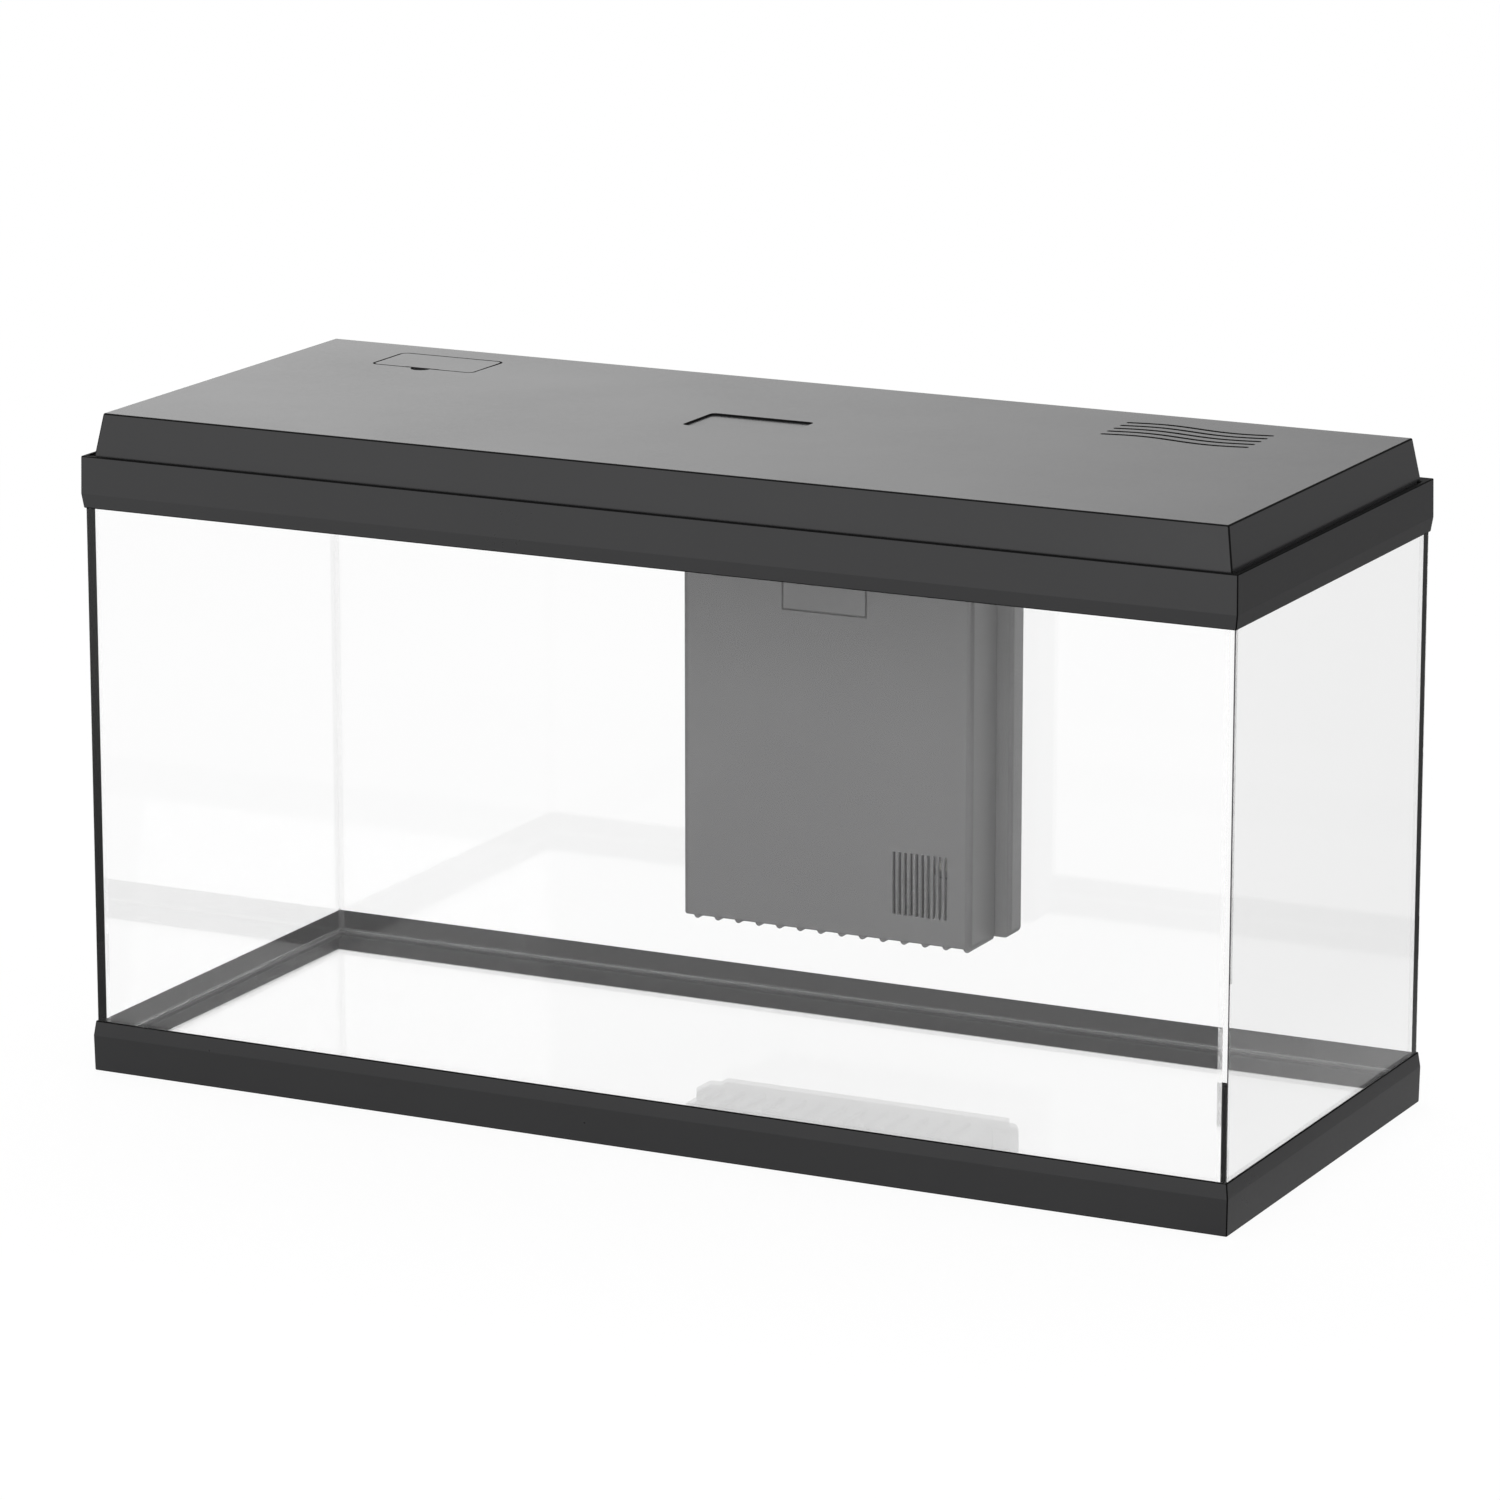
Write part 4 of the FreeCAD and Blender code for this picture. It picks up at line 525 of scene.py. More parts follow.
class HoodLooks(bpy.types.PropertyGroup):
    """Hood, flap and lamp."""

    colour: FloatVectorProperty(
        name="Hood colour", description="Colour of the hood and the feeding flap",
        default=(0.024, 0.024, 0.025), size=3, min=0.0, max=1.0, subtype="COLOR",
    )
    # Near-black painted on the rounded edges of the black pieces, on the rim's ledge and in the
    # hood's openings: painted shade.
    edge_shade_colour: FloatVectorProperty(
        name="Edge shade colour", description="Colour of the rounded edges of the black pieces",
        default=(0.004, 0.004, 0.004), size=3, min=0.0, max=1.0, subtype="COLOR",
    )
    edge_round: FloatProperty(
        name="Hood edge radius", description="Radius of the long outer edges of the hood",
        default=0.0009, min=0.0, max=0.003, subtype="DISTANCE", unit="LENGTH",
    )
    opening_round: FloatProperty(
        name="Opening edge radius",
        description="Radius of the edges of the flap, the recess and the vents",
        default=0.0005, min=0.0, max=0.001, subtype="DISTANCE", unit="LENGTH",
    )
    lamp_colour: FloatVectorProperty(
        name="Lamp housing colour", description="Colour of the lamp's metal housing",
        default=(0.62, 0.63, 0.65), size=3, min=0.0, max=1.0, subtype="COLOR",
    )


class FilterLooks(bpy.types.PropertyGroup):
    """Filter housing, its media, the pump and the heater."""

    housing_colour: FloatVectorProperty(
        name="Housing colour", description="Colour of the filter housing",
        default=(0.105, 0.105, 0.106), size=3, min=0.0, max=1.0, subtype="COLOR",
    )
    edge_round: FloatProperty(
        name="Housing edge radius", description="Radius of the sharp edges of the housing",
        default=0.0004, min=0.0, max=0.001, subtype="DISTANCE", unit="LENGTH",
    )
    coarse_colour: FloatVectorProperty(
        name="Coarse sponge colour", description="Colour of the coarse filter sponge",
        default=(0.02, 0.1, 0.24), size=3, min=0.0, max=1.0, subtype="COLOR",
    )
    fine_colour: FloatVectorProperty(
        name="Fine sponge colour", description="Colour of the fine filter sponge",
        default=(0.72, 0.7, 0.62), size=3, min=0.0, max=1.0, subtype="COLOR",
    )
    pore: FloatProperty(
        name="Pore depth", description="Depth of the pores on a sponge's surface",
        default=0.0007, min=0.0, max=0.002, subtype="DISTANCE", unit="LENGTH",
    )
    knob_colour: FloatVectorProperty(
        name="Knob colour", description="Colour of the heater's temperature knob",
        default=(0.55, 0.03, 0.02), size=3, min=0.0, max=1.0, subtype="COLOR",
    )


class StageLooks(bpy.types.PropertyGroup):
    """Floor, world, lamps and camera."""

    floor_radius: FloatProperty(
        name="Floor radius", description="Radius of the round floor",
        default=4.0, min=1.0, max=20.0, subtype="DISTANCE", unit="LENGTH",
    )
    floor_colour: FloatVectorProperty(
        name="Floor colour", description="Colour of the light that the floor throws back",
        default=(0.12, 0.12, 0.12), size=3, min=0.0, max=1.0, subtype="COLOR",
    )
    floor_white: FloatProperty(
        name="Floor whiteness", description="Share of plain white in the floor near the object",
        default=0.92, min=0.0, max=1.0, subtype="FACTOR",
    )
    # The floor's white glow as gloss shows it on the left is a painted reflection.
    floor_painted_reflection: FloatProperty(
        name="Floor sheen",
        description="Share of white in the floor as gloss shows it, left of the object",
        default=0.9, min=0.0, max=1.0, subtype="FACTOR",
    )
    bright_side: FloatProperty(
        name="Bright side",
        description="Brightness of the surroundings on the left, as gloss shows it",
        default=1.1, min=0.0, max=2.0,
    )
    dim_side: FloatProperty(
        name="Dim side",
        description="Brightness of the surroundings on the right, as gloss shows it",
        default=0.28, min=0.0, max=2.0,
    )
    ambient: FloatProperty(
        name="Ambient light", description="Strength of the light from all around",
        default=0.8, min=0.0, max=2.0,
    )
    key_power: FloatProperty(
        name="Key light", description="Power of the front light",
        default=65.0, min=0.0, max=500.0, unit="POWER",
    )
    fill_power: FloatProperty(
        name="Fill light", description="Power of the light from the right",
        default=12.0, min=0.0, max=500.0, unit="POWER",
    )
    top_power: FloatProperty(
        name="Top light", description="Power of the light from above and behind",
        default=30.0, min=0.0, max=500.0, unit="POWER",
    )


class AquariumLooks(bpy.types.PropertyGroup):
    """All settings of the aquarium."""

    tank: PointerProperty(type=TankLooks, name="Tank", description="Tank settings")
    hood: PointerProperty(type=HoodLooks, name="Hood", description="Hood settings")
    filter: PointerProperty(type=FilterLooks, name="Filter", description="Filter settings")
    stage: PointerProperty(type=StageLooks, name="Stage", description="Stage settings")


def looks(context):
    """The scene's aquarium settings."""
    return context.scene.aquarium_looks


# ---- Shared finishes ----
def finish_named(name):
    """The finish of that name, made the first time that it is asked for."""
    found = bpy.data.materials.get(name)
    if found:
        return found
    settings = looks(bpy.context)
    tank, hood, housing = settings.tank, settings.hood, settings.filter
    grey = housing.housing_colour
    satin = {"grain": 0.000006, "scale": 1400.0}
    cast = {"grain": 0.000006, "scale": 1100.0}
    makers = {
        "Trim black": lambda: moulded(name, tank.trim_colour, 0.3, **satin),
        # The two edge finishes below are near-black with almost no gloss: painted shade along
        # rounded edges, in openings and in the gap under the hood.
        "Trim edge": lambda: moulded(
            name, hood.edge_shade_colour, 0.5, **satin, Specular_IOR_Level=0.04,
        ),
        "Hood black": lambda: moulded(name, hood.colour, 0.2, grain=0.000005, scale=1400.0),
        "Hood edge": lambda: moulded(
            name, hood.edge_shade_colour, 0.5, **satin, Specular_IOR_Level=0.05,
        ),
        "Inner black": lambda: moulded(name, (0.012, 0.012, 0.013), 0.5),
        "Filter grey": lambda: moulded(name, grey, 0.45, grain=0.000003, scale=1100.0),
        # The housing grey made much paler for the walls of the slots: painted light.
        "Filter painted slot light": lambda: moulded(name, shaded(grey, 2.2), 0.6, **cast),
        # The housing grey made darker and less glossy for the curved faces: painted shade.
        "Filter curve shade": lambda: moulded(
            name, shaded(grey, 0.8), 0.5, **cast, Specular_IOR_Level=0.4,
        ),
        # A dark grey line along the housing's sharp edges: painted shade.
        "Filter line shade": lambda: moulded(
            name, shaded(grey, 0.3), 0.6, **cast, Specular_IOR_Level=0.2,
        ),
        "Pump grey": lambda: moulded(name, (0.045, 0.048, 0.052), 0.35),
        "Magnet": lambda: moulded(
            name, (0.03, 0.03, 0.032), 0.6, grain=0.00004, scale=2600.0,
        ),
        "Ceramic shaft": lambda: moulded(name, (0.78, 0.77, 0.72), 0.18, grain=0.000003),
        "Ceramic ring": lambda: moulded(
            name, (0.72, 0.66, 0.55), 0.9, grain=0.00012, scale=900.0, mottle=0.3,
        ),
        "Knob red": lambda: moulded(name, housing.knob_colour, 0.3),
        "Rubber pad": lambda: moulded(name, (0.02, 0.02, 0.02), 0.75, grain=0.00003),
        "Board white": lambda: moulded(name, (0.8, 0.8, 0.77), 0.35, grain=0.000008),
        "Chip yellow": lambda: moulded(name, (0.85, 0.62, 0.1), 0.45, grain=0.000008),
        "Steel": lambda: metal(name, (0.62, 0.61, 0.59), 0.28),
        "Lamp metal": lambda: metal(name, hood.lamp_colour, 0.34),
        "Glass pane": lambda: clear(name, tank.glass_tint, ior=1.5, smooth=0.0, rough=0.012),
        "Ground glass": lambda: clear(
            name, (0.86, 0.92, 0.9), ior=1.5, smooth=0.3, rough=0.5, cloud_scale=300.0,
        ),
        "Silicone": lambda: film(name, (0.6, 0.6, 0.6), cover=0.04, roughness=0.3),
        "Lamp lens": lambda: clear(
            name, (0.95, 0.95, 0.95), ior=1.49, smooth=0.12, rough=0.22, cloud_scale=40.0,
        ),
        "Heater coil": lambda: wound(
            name, core_colour=(0.62, 0.6, 0.55), wire_colour=(0.22, 0.18, 0.15), turns=190.0,
        ),
        "Heater glass": lambda: clear(
            name, (0.93, 0.96, 0.95), ior=1.47, smooth=0.0, rough=0.03, cloud_scale=30.0,
        ),
        "Coarse foam": lambda: foam(
            name, housing.coarse_colour, pore_scale=420.0, depth=0.0009,
        ),
        "Fine foam": lambda: foam(name, housing.fine_colour, pore_scale=900.0, depth=0.0005),
    }
    return makers[name]()


# ---- Stage ----
CAMERA_PLACE = Vector((1.9215, -3.8451, 1.2746))
CAMERA_LOOK = Vector((-0.43450, 0.86884, -0.23748))
CAMERA_LENS = 165.907
CAMERA_SENSOR = 36.0
LAMP_TARGET = Vector((0.0, 0.0, 0.2))
PANE_BOUNCES = 20
OTHER_BOUNCES = 4
FLOOR_GAP = 0.0004
FRONT_LEVEL = 0.97
WHITE = (1.0, 1.0, 1.0, 1.0)
PAPER = (0.95, 0.95, 0.95)


def area_lamp(name, place, size, power):
    """A rectangular lamp that points at the object."""
    light = bpy.data.lights.new(name, "AREA")
    light.shape = "RECTANGLE"
    light.size, light.size_y = size
    light.energy = power
    lamp = bpy.data.objects.new(name, light)
    bpy.context.scene.collection.objects.link(lamp)
    lamp.location = place
    lamp.rotation_euler = (LAMP_TARGET - Vector(place)).to_track_quat("-Z", "Y").to_euler()


def seen_directly(tree, path):
    """1 for what the camera sees, directly or through glass, and 0 for all other light."""
    by_eye, through_glass = path.outputs["Is Camera Ray"], path.outputs["Is Transmission Ray"]
    return maths(tree, "MAXIMUM", by_eye, through_glass)


def floor_finish(colour, share, sheen):
    """Pale floor: seen directly it is white with a soft shadow; gloss shows it glowing white on
    the left, dark on the right and dimmer near the object, as painted reflection and painted
    shade; and the light that it throws back is weak."""
    material, tree = blank_material("Floor")
    path = add(tree, "ShaderNodeLightPath")
    seen = seen_directly(tree, path)
    side = add(tree, "ShaderNodeSeparateXYZ")
    # Gloss sees the floor glowing white on the left and only a tenth of that on the right:
    # painted reflection and painted shade for the black pieces.
    lit = add(
        tree, "ShaderNodeMapRange", From_Min=0.35, From_Max=0.55, To_Min=sheen, To_Max=0.1,
    )
    # Near the object that glow is cut to about half: a painted shadow in the reflections.
    near = add(
        tree, "ShaderNodeMapRange", From_Min=0.6, From_Max=1.5, To_Min=0.48, To_Max=1.0,
    )
    lit_there = maths(tree, "MULTIPLY", lit.outputs[0], near.outputs[0])
    gloss = maths(tree, "MULTIPLY", lit_there, path.outputs["Is Glossy Ray"])
    place = add(tree, "ShaderNodeTexCoord").outputs["Object"]
    speckle, speckle_depth = noise_at(tree, place, scale=60.0), 0.02
    shade = maths(tree, "MULTIPLY_ADD", speckle, speckle_depth, 1.0 - speckle_depth / 2)
    tint = add(tree, "ShaderNodeVectorMath", operation="SCALE")
    paper = mixed_colour(tree, seen, colour, PAPER)
    radius = add(tree, "ShaderNodeVectorMath", operation="LENGTH")
    fade = add(tree, "ShaderNodeMapRange", From_Min=0.7, From_Max=2.2, To_Min=share, To_Max=1.0)
    paint = add(tree, "ShaderNodeBsdfDiffuse")
    glow = add(tree, "ShaderNodeEmission", Strength=1.0)
    glowing = maths(tree, "MAXIMUM", maths(tree, "MULTIPLY", fade.outputs[0], seen), gloss)
    blend = add(tree, "ShaderNodeMixShader")
    output = add(tree, "ShaderNodeOutputMaterial")
    link(
        tree,
        (paper, tint.inputs[0]),
        (shade, tint.inputs["Scale"]),
        (tint.outputs[0], paint.inputs["Color"]),
        (place, radius.inputs[0]),
        (radius.outputs["Value"], fade.inputs["Value"]),
        (radius.outputs["Value"], near.inputs["Value"]),
        (place, side.inputs[0]),
        (side.outputs["X"], lit.inputs["Value"]),
        (glowing, blend.inputs["Fac"]),
        (paint.outputs[0], blend.inputs[1]),
        (glow.outputs[0], blend.inputs[2]),
        (blend.outputs[0], output.inputs["Surface"]),
    )
    return material


class AQUARIUM_OT_stage(bpy.types.Operator):
    """Makes the pale floor, the white surroundings, the soft lamps and the camera"""

    bl_idname = "aquarium.stage"
    bl_label = "Stage"

    def execute(self, context):
        settings = looks(context).stage
        work = bmesh.new()
        bmesh.ops.create_circle(work, cap_ends=True, segments=64, radius=settings.floor_radius)
        mesh = bpy.data.meshes.new("Floor")
        bmesh.ops.translate(work, verts=work.verts, vec=(0.0, 0.0, CAD_LOW.z - FLOOR_GAP))
        work.to_mesh(mesh)
        work.free()
        finish = floor_finish(settings.floor_colour, settings.floor_white, settings.floor_painted_reflection)
        mesh.materials.append(finish)
        floor = bpy.data.objects.new("Floor", mesh)
        context.scene.collection.objects.link(floor)
        self.surroundings(context, settings)
        key, fill, top = settings.key_power, settings.fill_power, settings.top_power
        area_lamp("Key lamp", place=(0.8, -3.6, 1.4), size=(2.4, 1.8), power=key)
        area_lamp("Fill lamp", place=(3.2, 0.6, 1.6), size=(1.6, 1.6), power=fill)
        area_lamp("Top lamp", place=(-0.6, 1.6, 3.0), size=(2.6, 1.6), power=top)
        self.camera(context)
        context.scene.view_settings.view_transform = "Standard"
        self.light_bounces(context.scene.cycles)
        return {"FINISHED"}

    @staticmethod
    def light_bounces(cycles):
        """Lets light run along the inside of a pane, where it is mirrored to and fro."""
        cycles.glossy_bounces = PANE_BOUNCES
        cycles.transmission_bounces = PANE_BOUNCES
        cycles.max_bounces = PANE_BOUNCES + OTHER_BOUNCES

    @staticmethod
    def surroundings(context, settings):
        """White as seen directly or through glass; behind the object, gloss shows it brighter on
        the left than on the right."""
        world = bpy.data.worlds.new("Studio")
        context.scene.world = world
        world.use_nodes = True
        tree = world.node_tree
        tree.nodes.clear()
        path = add(tree, "ShaderNodeLightPath")
        way = add(tree, "ShaderNodeTexCoord").outputs["Generated"]
        side = add(tree, "ShaderNodeSeparateXYZ")
        level = add(tree, "ShaderNodeMapRange", From_Min=-0.5, From_Max=-0.22)
        level.inputs["To Min"].default_value = settings.bright_side
        level.inputs["To Max"].default_value = settings.dim_side
        behind = add(tree, "ShaderNodeMapRange", From_Min=-0.2, From_Max=0.2)
        change = maths(tree, "SUBTRACT", level.outputs[0], FRONT_LEVEL)
        strength = maths(tree, "MULTIPLY_ADD", change, behind.outputs[0], FRONT_LEVEL)
        mirrored = add(tree, "ShaderNodeBackground", Color=WHITE)
        unseen = add(tree, "ShaderNodeMixShader")
        white = add(tree, "ShaderNodeBackground", Color=WHITE, Strength=1.0)
        soft = add(tree, "ShaderNodeBackground", Color=WHITE, Strength=settings.ambient)
        blend = add(tree, "ShaderNodeMixShader")
        output = add(tree, "ShaderNodeOutputWorld")
        link(
            tree,
            (way, side.inputs[0]),
            (side.outputs["X"], level.inputs["Value"]),
            (side.outputs["Y"], behind.inputs["Value"]),
            (strength, mirrored.inputs["Strength"]),
            (path.outputs["Is Glossy Ray"], unseen.inputs["Fac"]),
            (soft.outputs[0], unseen.inputs[1]),
            (mirrored.outputs[0], unseen.inputs[2]),
            (seen_directly(tree, path), blend.inputs["Fac"]),
            (unseen.outputs[0], blend.inputs[1]),
            (white.outputs[0], blend.inputs[2]),
            (blend.outputs[0], output.inputs["Surface"]),
        )

    @staticmethod
    def camera(context):
        data = bpy.data.cameras.new("Camera")
        data.sensor_width = CAMERA_SENSOR
        data.lens = CAMERA_LENS
        data.clip_start = 0.05
        data.clip_end = 100.0
        camera = bpy.data.objects.new("Camera", data)
        context.scene.collection.objects.link(camera)
        camera.location = CAMERA_PLACE
        camera.rotation_mode = "QUATERNION"
        camera.rotation_quaternion = CAMERA_LOOK.to_track_quat("-Z", "Y")
        context.scene.camera = camera


# ---- Tank ----
class AQUARIUM_OT_panes(bpy.types.Operator):
    """Makes the glass: four walls bonded at their corners, and the floor pane"""

    bl_idname = "aquarium.panes"
    bl_label = "Glass panes"

    def execute(self, context):
        settings = looks(context).tank
        finishes = [finish_named("Glass pane"), finish_named("Ground glass")]
        gap = Vector((0.0, 0.0, settings.bond))
        left_low, left_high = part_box("left_pane")
        low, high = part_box("front_pane")
        high.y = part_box("rear_pane")[1].y
        walls = self.ring(low + gap, high - gap, left_high.x - left_low.x)
        self.grind(walls, settings.arris)
        nodes = ["front_pane", "rear_pane", "left_pane", "right_pane"]
        new_piece("glass_walls", walls, "tank", finishes, nodes)
        low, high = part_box("floor_pane")
        floor = block(low + gap, high - gap)
        self.grind(floor, settings.arris)
        new_piece("glass_floor", floor, "tank", finishes, ["floor_pane"])
        return {"FINISHED"}

    @staticmethod
    def grind(pane, arris):
        """Takes a narrow flat off every sharp edge of the glass."""
        round_edges(pane, convex_edges(pane, shortest=0.0), arris, segments=1, finish=EDGE)

    @staticmethod
    def ring(low, high, thickness):
        """An upright rectangular tube with walls of even thickness."""
        work = block(low, high)
        ends = [face for face in work.faces if abs(face.normal.z) > AXIS_MATCH]
        for end in ends:
            bmesh.ops.inset_region(work, faces=[end], thickness=thickness, use_even_offset=True)
        bmesh.ops.delete(work, geom=ends, context="FACES_ONLY")
        rims = [edge for edge in work.edges if edge.is_boundary]
        bmesh.ops.bridge_loops(work, edges=rims)
        bmesh.ops.recalc_face_normals(work, faces=work.faces)
        return work


class AQUARIUM_OT_seals(bpy.types.Operator):
    """Finishes the beads of clear silicone in the tank's corners"""

    bl_idname = "aquarium.seals"
    bl_label = "Silicone beads"

    def execute(self, context):
        silicone = finish_named("Silicone")
        dress("corner_seals", silicone)
        dress("floor_seal", silicone)
        return {"FINISHED"}


class AQUARIUM_OT_trim(bpy.types.Operator):
    """Makes the black base frame and the black top rim with rounded edges"""

    bl_idname = "aquarium.trim"
    bl_label = "Base frame and rim"

    def execute(self, context):
        settings = looks(context).tank
        finishes = [finish_named("Trim black"), finish_named("Trim edge")]
        for node in ("base_frame", "top_rim"):
            work = merged_copy(node)
            long_edges = outer_edges(work, shortest=0.008)
            # The long outer edges are rounded and take the near-black edge finish as painted
            # shade.
            round_edges(work, long_edges, settings.trim_round, finish=EDGE)
            if node == "top_rim":
                # The rim's lip and ledge take painted shade.
                self.darken_ledge(work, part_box(node))
            new_piece(node + "_moulded", work, "tank", finishes, [node])
        return {"FINISHED"}

    @staticmethod
    def darken_ledge(work, box):
        """Gives the edge finish to the lip's inside and to the ledge that the hood stands on:
        painted shade in the gap under the hood.
        """
        low, high = box
        middle = (low + high) / 2
        lip = 0.006
        for face in work.faces:
            centre = face.calc_center_median()
            away = centre - middle
            outward = face.normal.x * away.x + face.normal.y * away.y
            if centre.z > high.z - lip and (face.normal.z > AXIS_MISS or outward < 0.0):
                face.material_index = EDGE


# ---- Hood ----
class AQUARIUM_OT_hood(bpy.types.Operator):
    """Makes the hood and its feeding flap"""

    bl_idname = "aquarium.hood"
    bl_label = "Hood and flap"

    def execute(self, context):
        settings = looks(context).hood
        finishes = [finish_named("Hood black"), finish_named("Hood edge")]
        shell = merged_copy("hood_shell")
        long_edges = outer_edges(shell, shortest=0.02)
        # The long outer edges are rounded and take the near-black edge finish as painted shade.
        round_edges(shell, long_edges, settings.edge_round, segments=3, finish=EDGE)
        # The vents, the recess and the flap's opening are darkened with painted shade.
        self.trace_openings(shell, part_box("hood_shell"), HOOD_OUTLINE, settings.opening_round)
        new_piece("hood_shell_moulded", shell, "hood", finishes, ["hood_shell"])
        flap = merged_copy("feeding_flap")
        # The flap's upright faces near its top take the same painted shade.
        self.trace_openings(flap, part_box("feeding_flap"), 0.0, settings.opening_round)
        new_piece("feeding_flap_moulded", flap, "flap", finishes, ["feeding_flap"])
        return {"FINISHED"}

    @classmethod
    def trace_openings(cls, work, box, outline, radius):
        """Darkens the openings in a top face with painted shade, and rounds their edges, which
        take the same painted shade.
        """
        cls.darken_openings(work, box)
        round_edges(work, cls.opening_edges(work, box, outline), radius, finish=EDGE)

    @staticmethod
    def opening_edges(work, box, outline):
        """The outward edges of a top face between a level and an upright face, without those in
        the outline of that width."""
        low, high = box
        found = []
        for edge in work.edges:
            if not edge.is_manifold or not edge.is_convex:
                continue
            centre = (edge.verts[0].co + edge.verts[1].co) / 2
            at_top = centre.z > high.z - LEVEL_TOLERANCE
            sides = high.x - outline > centre.x > low.x + outline
            inside = sides and high.y - outline > centre.y > low.y + outline
            least, most = sorted(abs(face.normal.z) for face in edge.link_faces)
            if at_top and (inside or not outline) and least < AXIS_MISS and most > AXIS_MATCH:
                found.append(edge)
        return found

    @staticmethod
    def darken_openings(work, box):
        """Gives the edge finish, as painted shade, to the upright faces near the top, except at
        the two ends.
        """
        high = box[1]
        plate = 0.0024
        for face in work.faces:
            centre = face.calc_center_median()
            inside = high.x - abs(centre.x) > HOOD_OUTLINE
            if inside and centre.z > high.z - plate and abs(face.normal.z) < AXIS_MISS:
                face.material_index = EDGE


class AQUARIUM_OT_hinges(bpy.types.Operator):
    """Finishes the hinges between the rim and the hood"""

    bl_idname = "aquarium.hinges"
    bl_label = "Hinges"

    def execute(self, context):
        trim, steel = finish_named("Trim black"), finish_named("Steel")
        for side in ("left", "right"):
            dress("hinge_bracket_" + side, trim)
            dress("hinge_pin_" + side, steel)
        dress("hinge_screws", steel)
        return {"FINISHED"}


class AQUARIUM_OT_lamp(bpy.types.Operator):
    """Makes the light under the hood"""

    bl_idname = "aquarium.lamp"
    bl_label = "Hood lamp"

    def execute(self, context):
        aluminium, black = finish_named("Lamp metal"), finish_named("Inner black")
        work = merged_copy("lamp_housing")
        drawn_radius = 0.0003
        round_edges(work, convex_edges(work, shortest=0.05), drawn_radius)
        new_piece("lamp_housing_drawn", work, "hood", [aluminium], ["lamp_housing"])
        dress("lamp_board", finish_named("Board white"))
        dress("lamp_lens", finish_named("Lamp lens"))
        chips = merged_copy("led_chips")
        windows = [face for face in chips.faces if face.normal.z < -AXIS_MATCH]
        bmesh.ops.inset_individual(chips, faces=windows, thickness=0.0008, depth=0.0)
        bmesh.ops.inset_individual(chips, faces=windows, thickness=0.0003, depth=-0.00025)
        finishes = [finish_named("Board white"), finish_named("Chip yellow")]
        for window in windows:
            window.material_index = len(finishes) - 1
        new_piece("led_chips_cased", chips, "hood", finishes, ["led_chips"])
        for node in ("lamp_end_left", "lamp_end_right", "lamp_gland"):
            dress(node, black)
        dress("lamp_screws", finish_named("Steel"))
        return {"FINISHED"}


# ---- Filter ----
class AQUARIUM_OT_filter_housing(bpy.types.Operator):
    """Makes the filter's housing, outlet panel and cover"""

    bl_idname = "aquarium.filter_housing"
    bl_label = "Filter housing"

    def execute(self, context):
        grey = finish_named("Filter grey")
        shades = ("Filter curve shade", "Filter line shade", "Filter painted slot light")
        finishes = [grey, *(finish_named(shade) for shade in shades)]
        settings = looks(context).filter
        bodies = {
            "filter_front": "tank",
            "filter_back": "tank",
            "outlet_panel": "tank",
            "filter_lid": "filter_cover",
        }
        for node, body in bodies.items():
            work = merged_copy(node)
            # Curved faces take a darker, less glossy grey as painted shade.
            finish_curves(work, finish=EDGE)
            # The sharp edges are rounded and take a dark grey line as painted shade.
            sharp = convex_edges(work, shortest=0.004)
            round_edges(work, sharp, settings.edge_round, finish=SHADED_LINE)
            # The slot walls take a paler grey as painted light.
            if node == "filter_front":
                self.lighten_slots(work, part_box(node))
            new_piece(node + "_moulded", work, body, finishes, [node])
        dress("fixing_pads", finish_named("Rubber pad"))
        dress("nozzle_collar", grey)
        dress("outlet_nozzle", finish_named("Inner black"))
        return {"FINISHED"}

    @staticmethod
    def lighten_slots(work, box):
        """Gives a paler finish to the walls of the intake slots, low in the front wall: painted
        light that lifts the shade inside them.
        """
        low, high = box
        wall = 0.003
        inner_low, inner_high = low.x + FILTER_OUTLINE, high.x - FILTER_OUTLINE
        foot, middle = low.z + FILTER_OUTLINE, (low.z + high.z) / 2
        for face in work.faces:
            centre = face.calc_center_median()
            in_wall = centre.y < low.y + wall and abs(face.normal.y) < AXIS_MISS
            if in_wall and inner_low < centre.x < inner_high and foot < centre.z < middle:
                face.material_index = SLOT


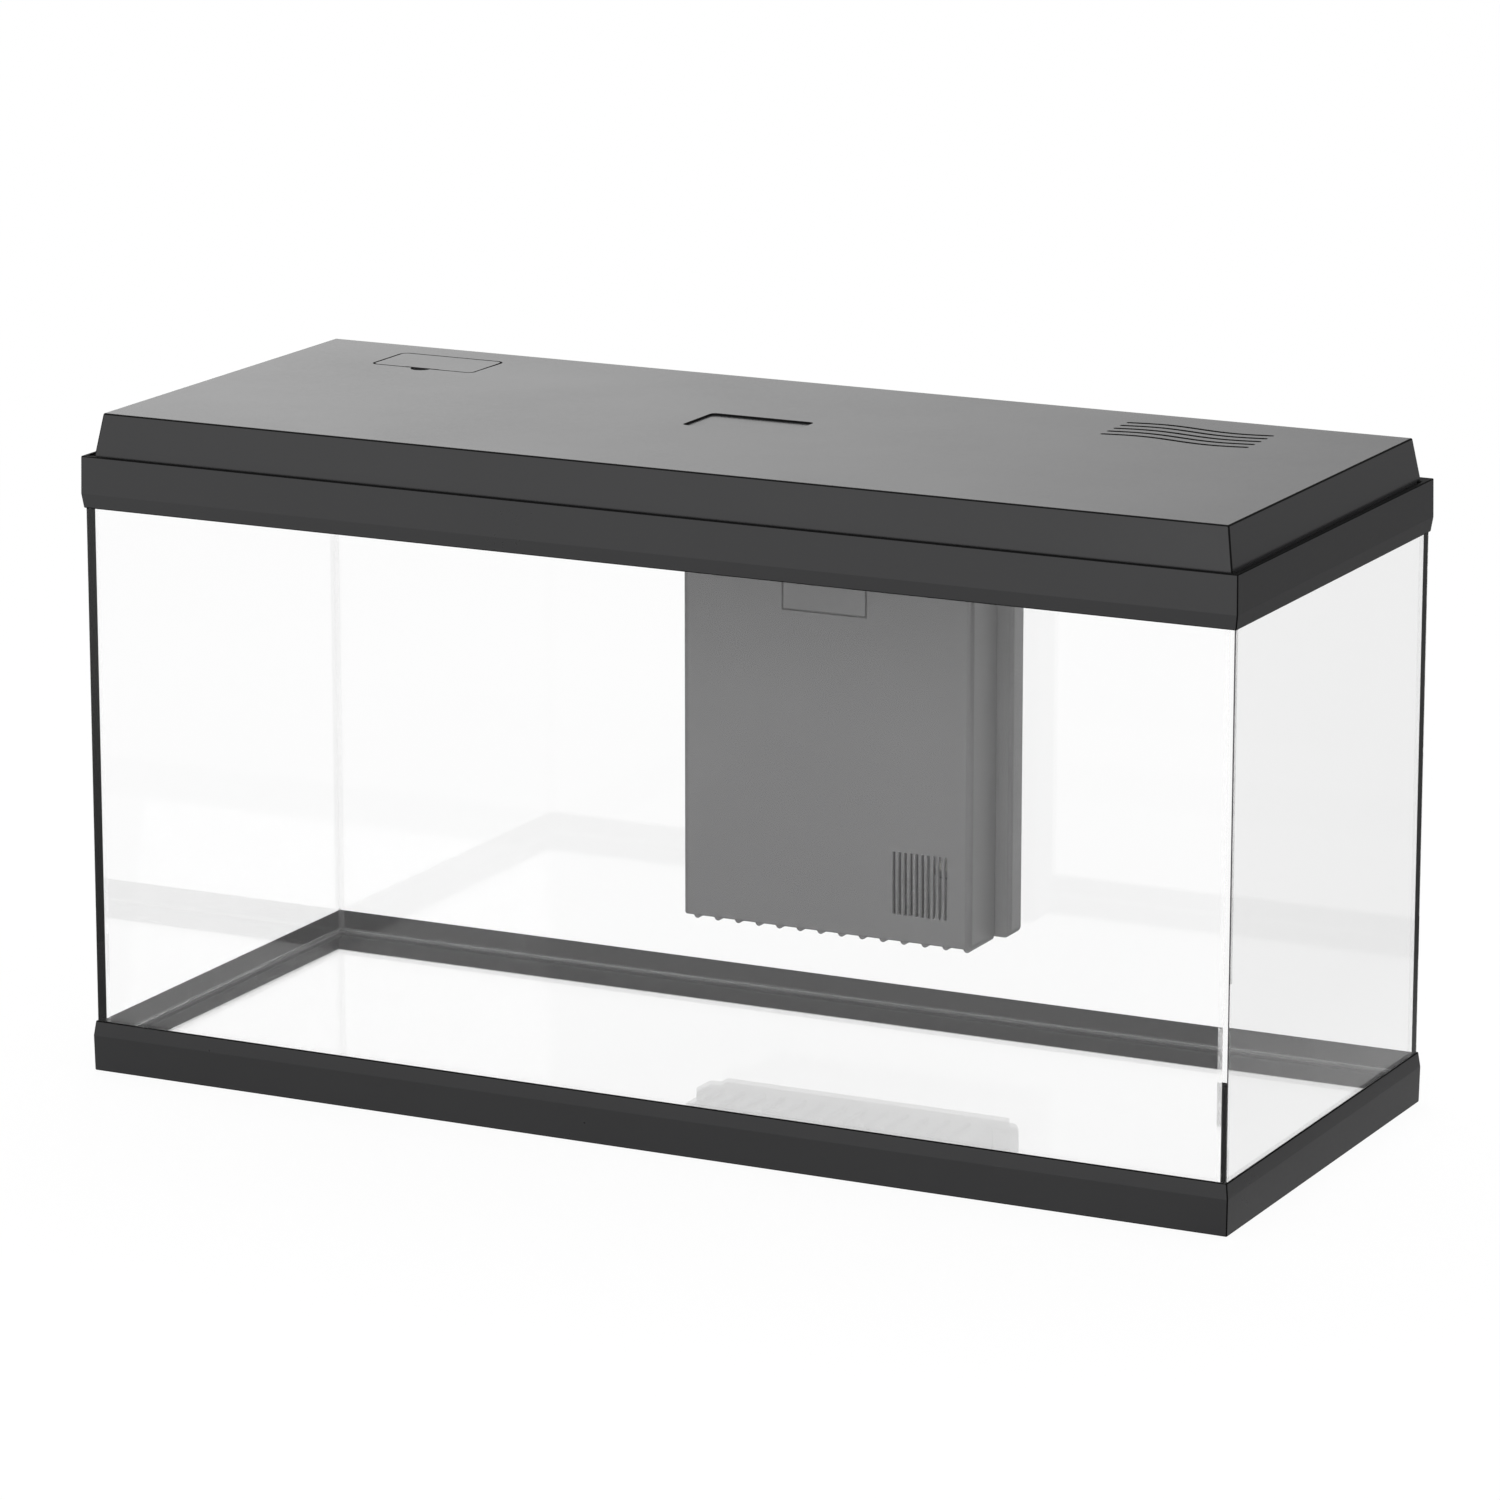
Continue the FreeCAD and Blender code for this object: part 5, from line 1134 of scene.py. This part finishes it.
class AQUARIUM_OT_media(bpy.types.Operator):
    """Makes the filter sponges and finishes the basket, its rings and the grid"""

    bl_idname = "aquarium.media"
    bl_label = "Filter media"

    def execute(self, context):
        settings = looks(context).filter
        # Finish, slot, size of a lump in millimetres, and share of the pore depth.
        sponges = {
            "coarse_sponge": ("Coarse foam", "sponge_coarse", 7.0, 0.4),
            "fine_sponge": ("Fine foam", "sponge_fine", 12.0, 0.25),
        }
        for node, (finish, slot, lump, share) in sponges.items():
            scale, depth = MM_PER_METRE / lump, settings.pore * share
            self.sponge(node, finish_named(finish), slot, scale, depth)
        black = finish_named("Inner black")
        for node in ("chamber_divider", "media_grid", "media_basket", "pump_tray"):
            dress(node, black)
        dress("ceramic_rings", finish_named("Ceramic ring"))
        return {"FINISHED"}

    @staticmethod
    def sponge(node, foam_finish, slot, scale, depth):
        """A cut block of foam with soft edges and an uneven open surface."""
        low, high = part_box(node)
        margin = Vector((0.0004, 0.0004, 0.0002))
        work = block(low + margin, high - margin)
        bmesh.ops.subdivide_edges(work, edges=work.edges, cuts=26, use_grid_fill=True)
        middle = (low + high) / 2
        half = (high - low) / 2
        most_slack, slack_share, stiffness = 0.0016, 0.1, 4
        slack = min(most_slack, half.z * slack_share)
        for vert in work.verts:
            away = vert.co - middle
            near = [abs(away[i]) / half[i] for i in range(3)]
            for axis in range(3):
                others = [near[i] ** 2 for i in range(3) if i != axis]
                pull = slack * max(others) * near[axis] ** stiffness
                vert.co[axis] -= math.copysign(pull, away[axis])
            rough = noise.noise(vert.co * scale) * 0.5 + 0.5
            vert.co -= away.normalized() * depth * rough
        piece = new_piece(node + "_foam", work, "tank", [foam_finish], [node])


class AQUARIUM_OT_pump(bpy.types.Operator):
    """Finishes the pump, its impeller and the outlet elbow"""

    bl_idname = "aquarium.pump"
    bl_label = "Pump"

    def execute(self, context):
        grey, black = finish_named("Pump grey"), finish_named("Inner black")
        dress("pump_motor", grey)
        dress("pump_volute", black)
        dress("outlet_elbow", black)
        dress("impeller_shaft", finish_named("Ceramic shaft"))
        dress("impeller", finish_named("Magnet"))
        dress("pump_feet", finish_named("Rubber pad"))
        return {"FINISHED"}


class AQUARIUM_OT_heater(bpy.types.Operator):
    """Finishes the heater with its tube, core, head, knob and clips"""

    bl_idname = "aquarium.heater"
    bl_label = "Heater"

    def execute(self, context):
        black = finish_named("Inner black")
        dress("heater_tube", finish_named("Heater glass"))
        dress("heater_core", finish_named("Heater coil"))
        dress("heater_head", black)
        dress("heater_knob", finish_named("Knob red"))
        dress("heater_clips", black)
        return {"FINISHED"}


# ---- Panel and registration ----
OPERATORS = (
    AQUARIUM_OT_stage,
    AQUARIUM_OT_panes,
    AQUARIUM_OT_seals,
    AQUARIUM_OT_trim,
    AQUARIUM_OT_hood,
    AQUARIUM_OT_hinges,
    AQUARIUM_OT_lamp,
    AQUARIUM_OT_filter_housing,
    AQUARIUM_OT_media,
    AQUARIUM_OT_pump,
    AQUARIUM_OT_heater,
)


class AQUARIUM_PT_looks(bpy.types.Panel):
    """Lists the aquarium's settings and the operators that build it"""

    bl_idname = "AQUARIUM_PT_looks"
    bl_label = "Aquarium"
    bl_space_type = "VIEW_3D"
    bl_region_type = "UI"
    bl_category = "Aquarium"

    def draw(self, context):
        settings = looks(context)
        for group in (settings.tank, settings.hood, settings.filter, settings.stage):
            box = self.layout.box()
            for key in group.bl_rna.properties.keys():
                if key not in ("rna_type", "name"):
                    box.prop(group, key)
        for operator in OPERATORS:
            self.layout.operator(operator.bl_idname)


CLASSES = (
    TankLooks,
    HoodLooks,
    FilterLooks,
    StageLooks,
    AquariumLooks,
    *OPERATORS,
    AQUARIUM_PT_looks,
)


def register():
    for item in CLASSES:
        bpy.utils.register_class(item)
    bpy.types.Scene.aquarium_looks = PointerProperty(type=AquariumLooks)


def unregister():
    del bpy.types.Scene.aquarium_looks
    for item in reversed(CLASSES):
        bpy.utils.unregister_class(item)


def main():
    """Builds everything."""
    register()
    for operator in OPERATORS:
        group, name = operator.bl_idname.split(".")
        getattr(getattr(bpy.ops, group), name)()


if __name__ == "__main__":
    main()
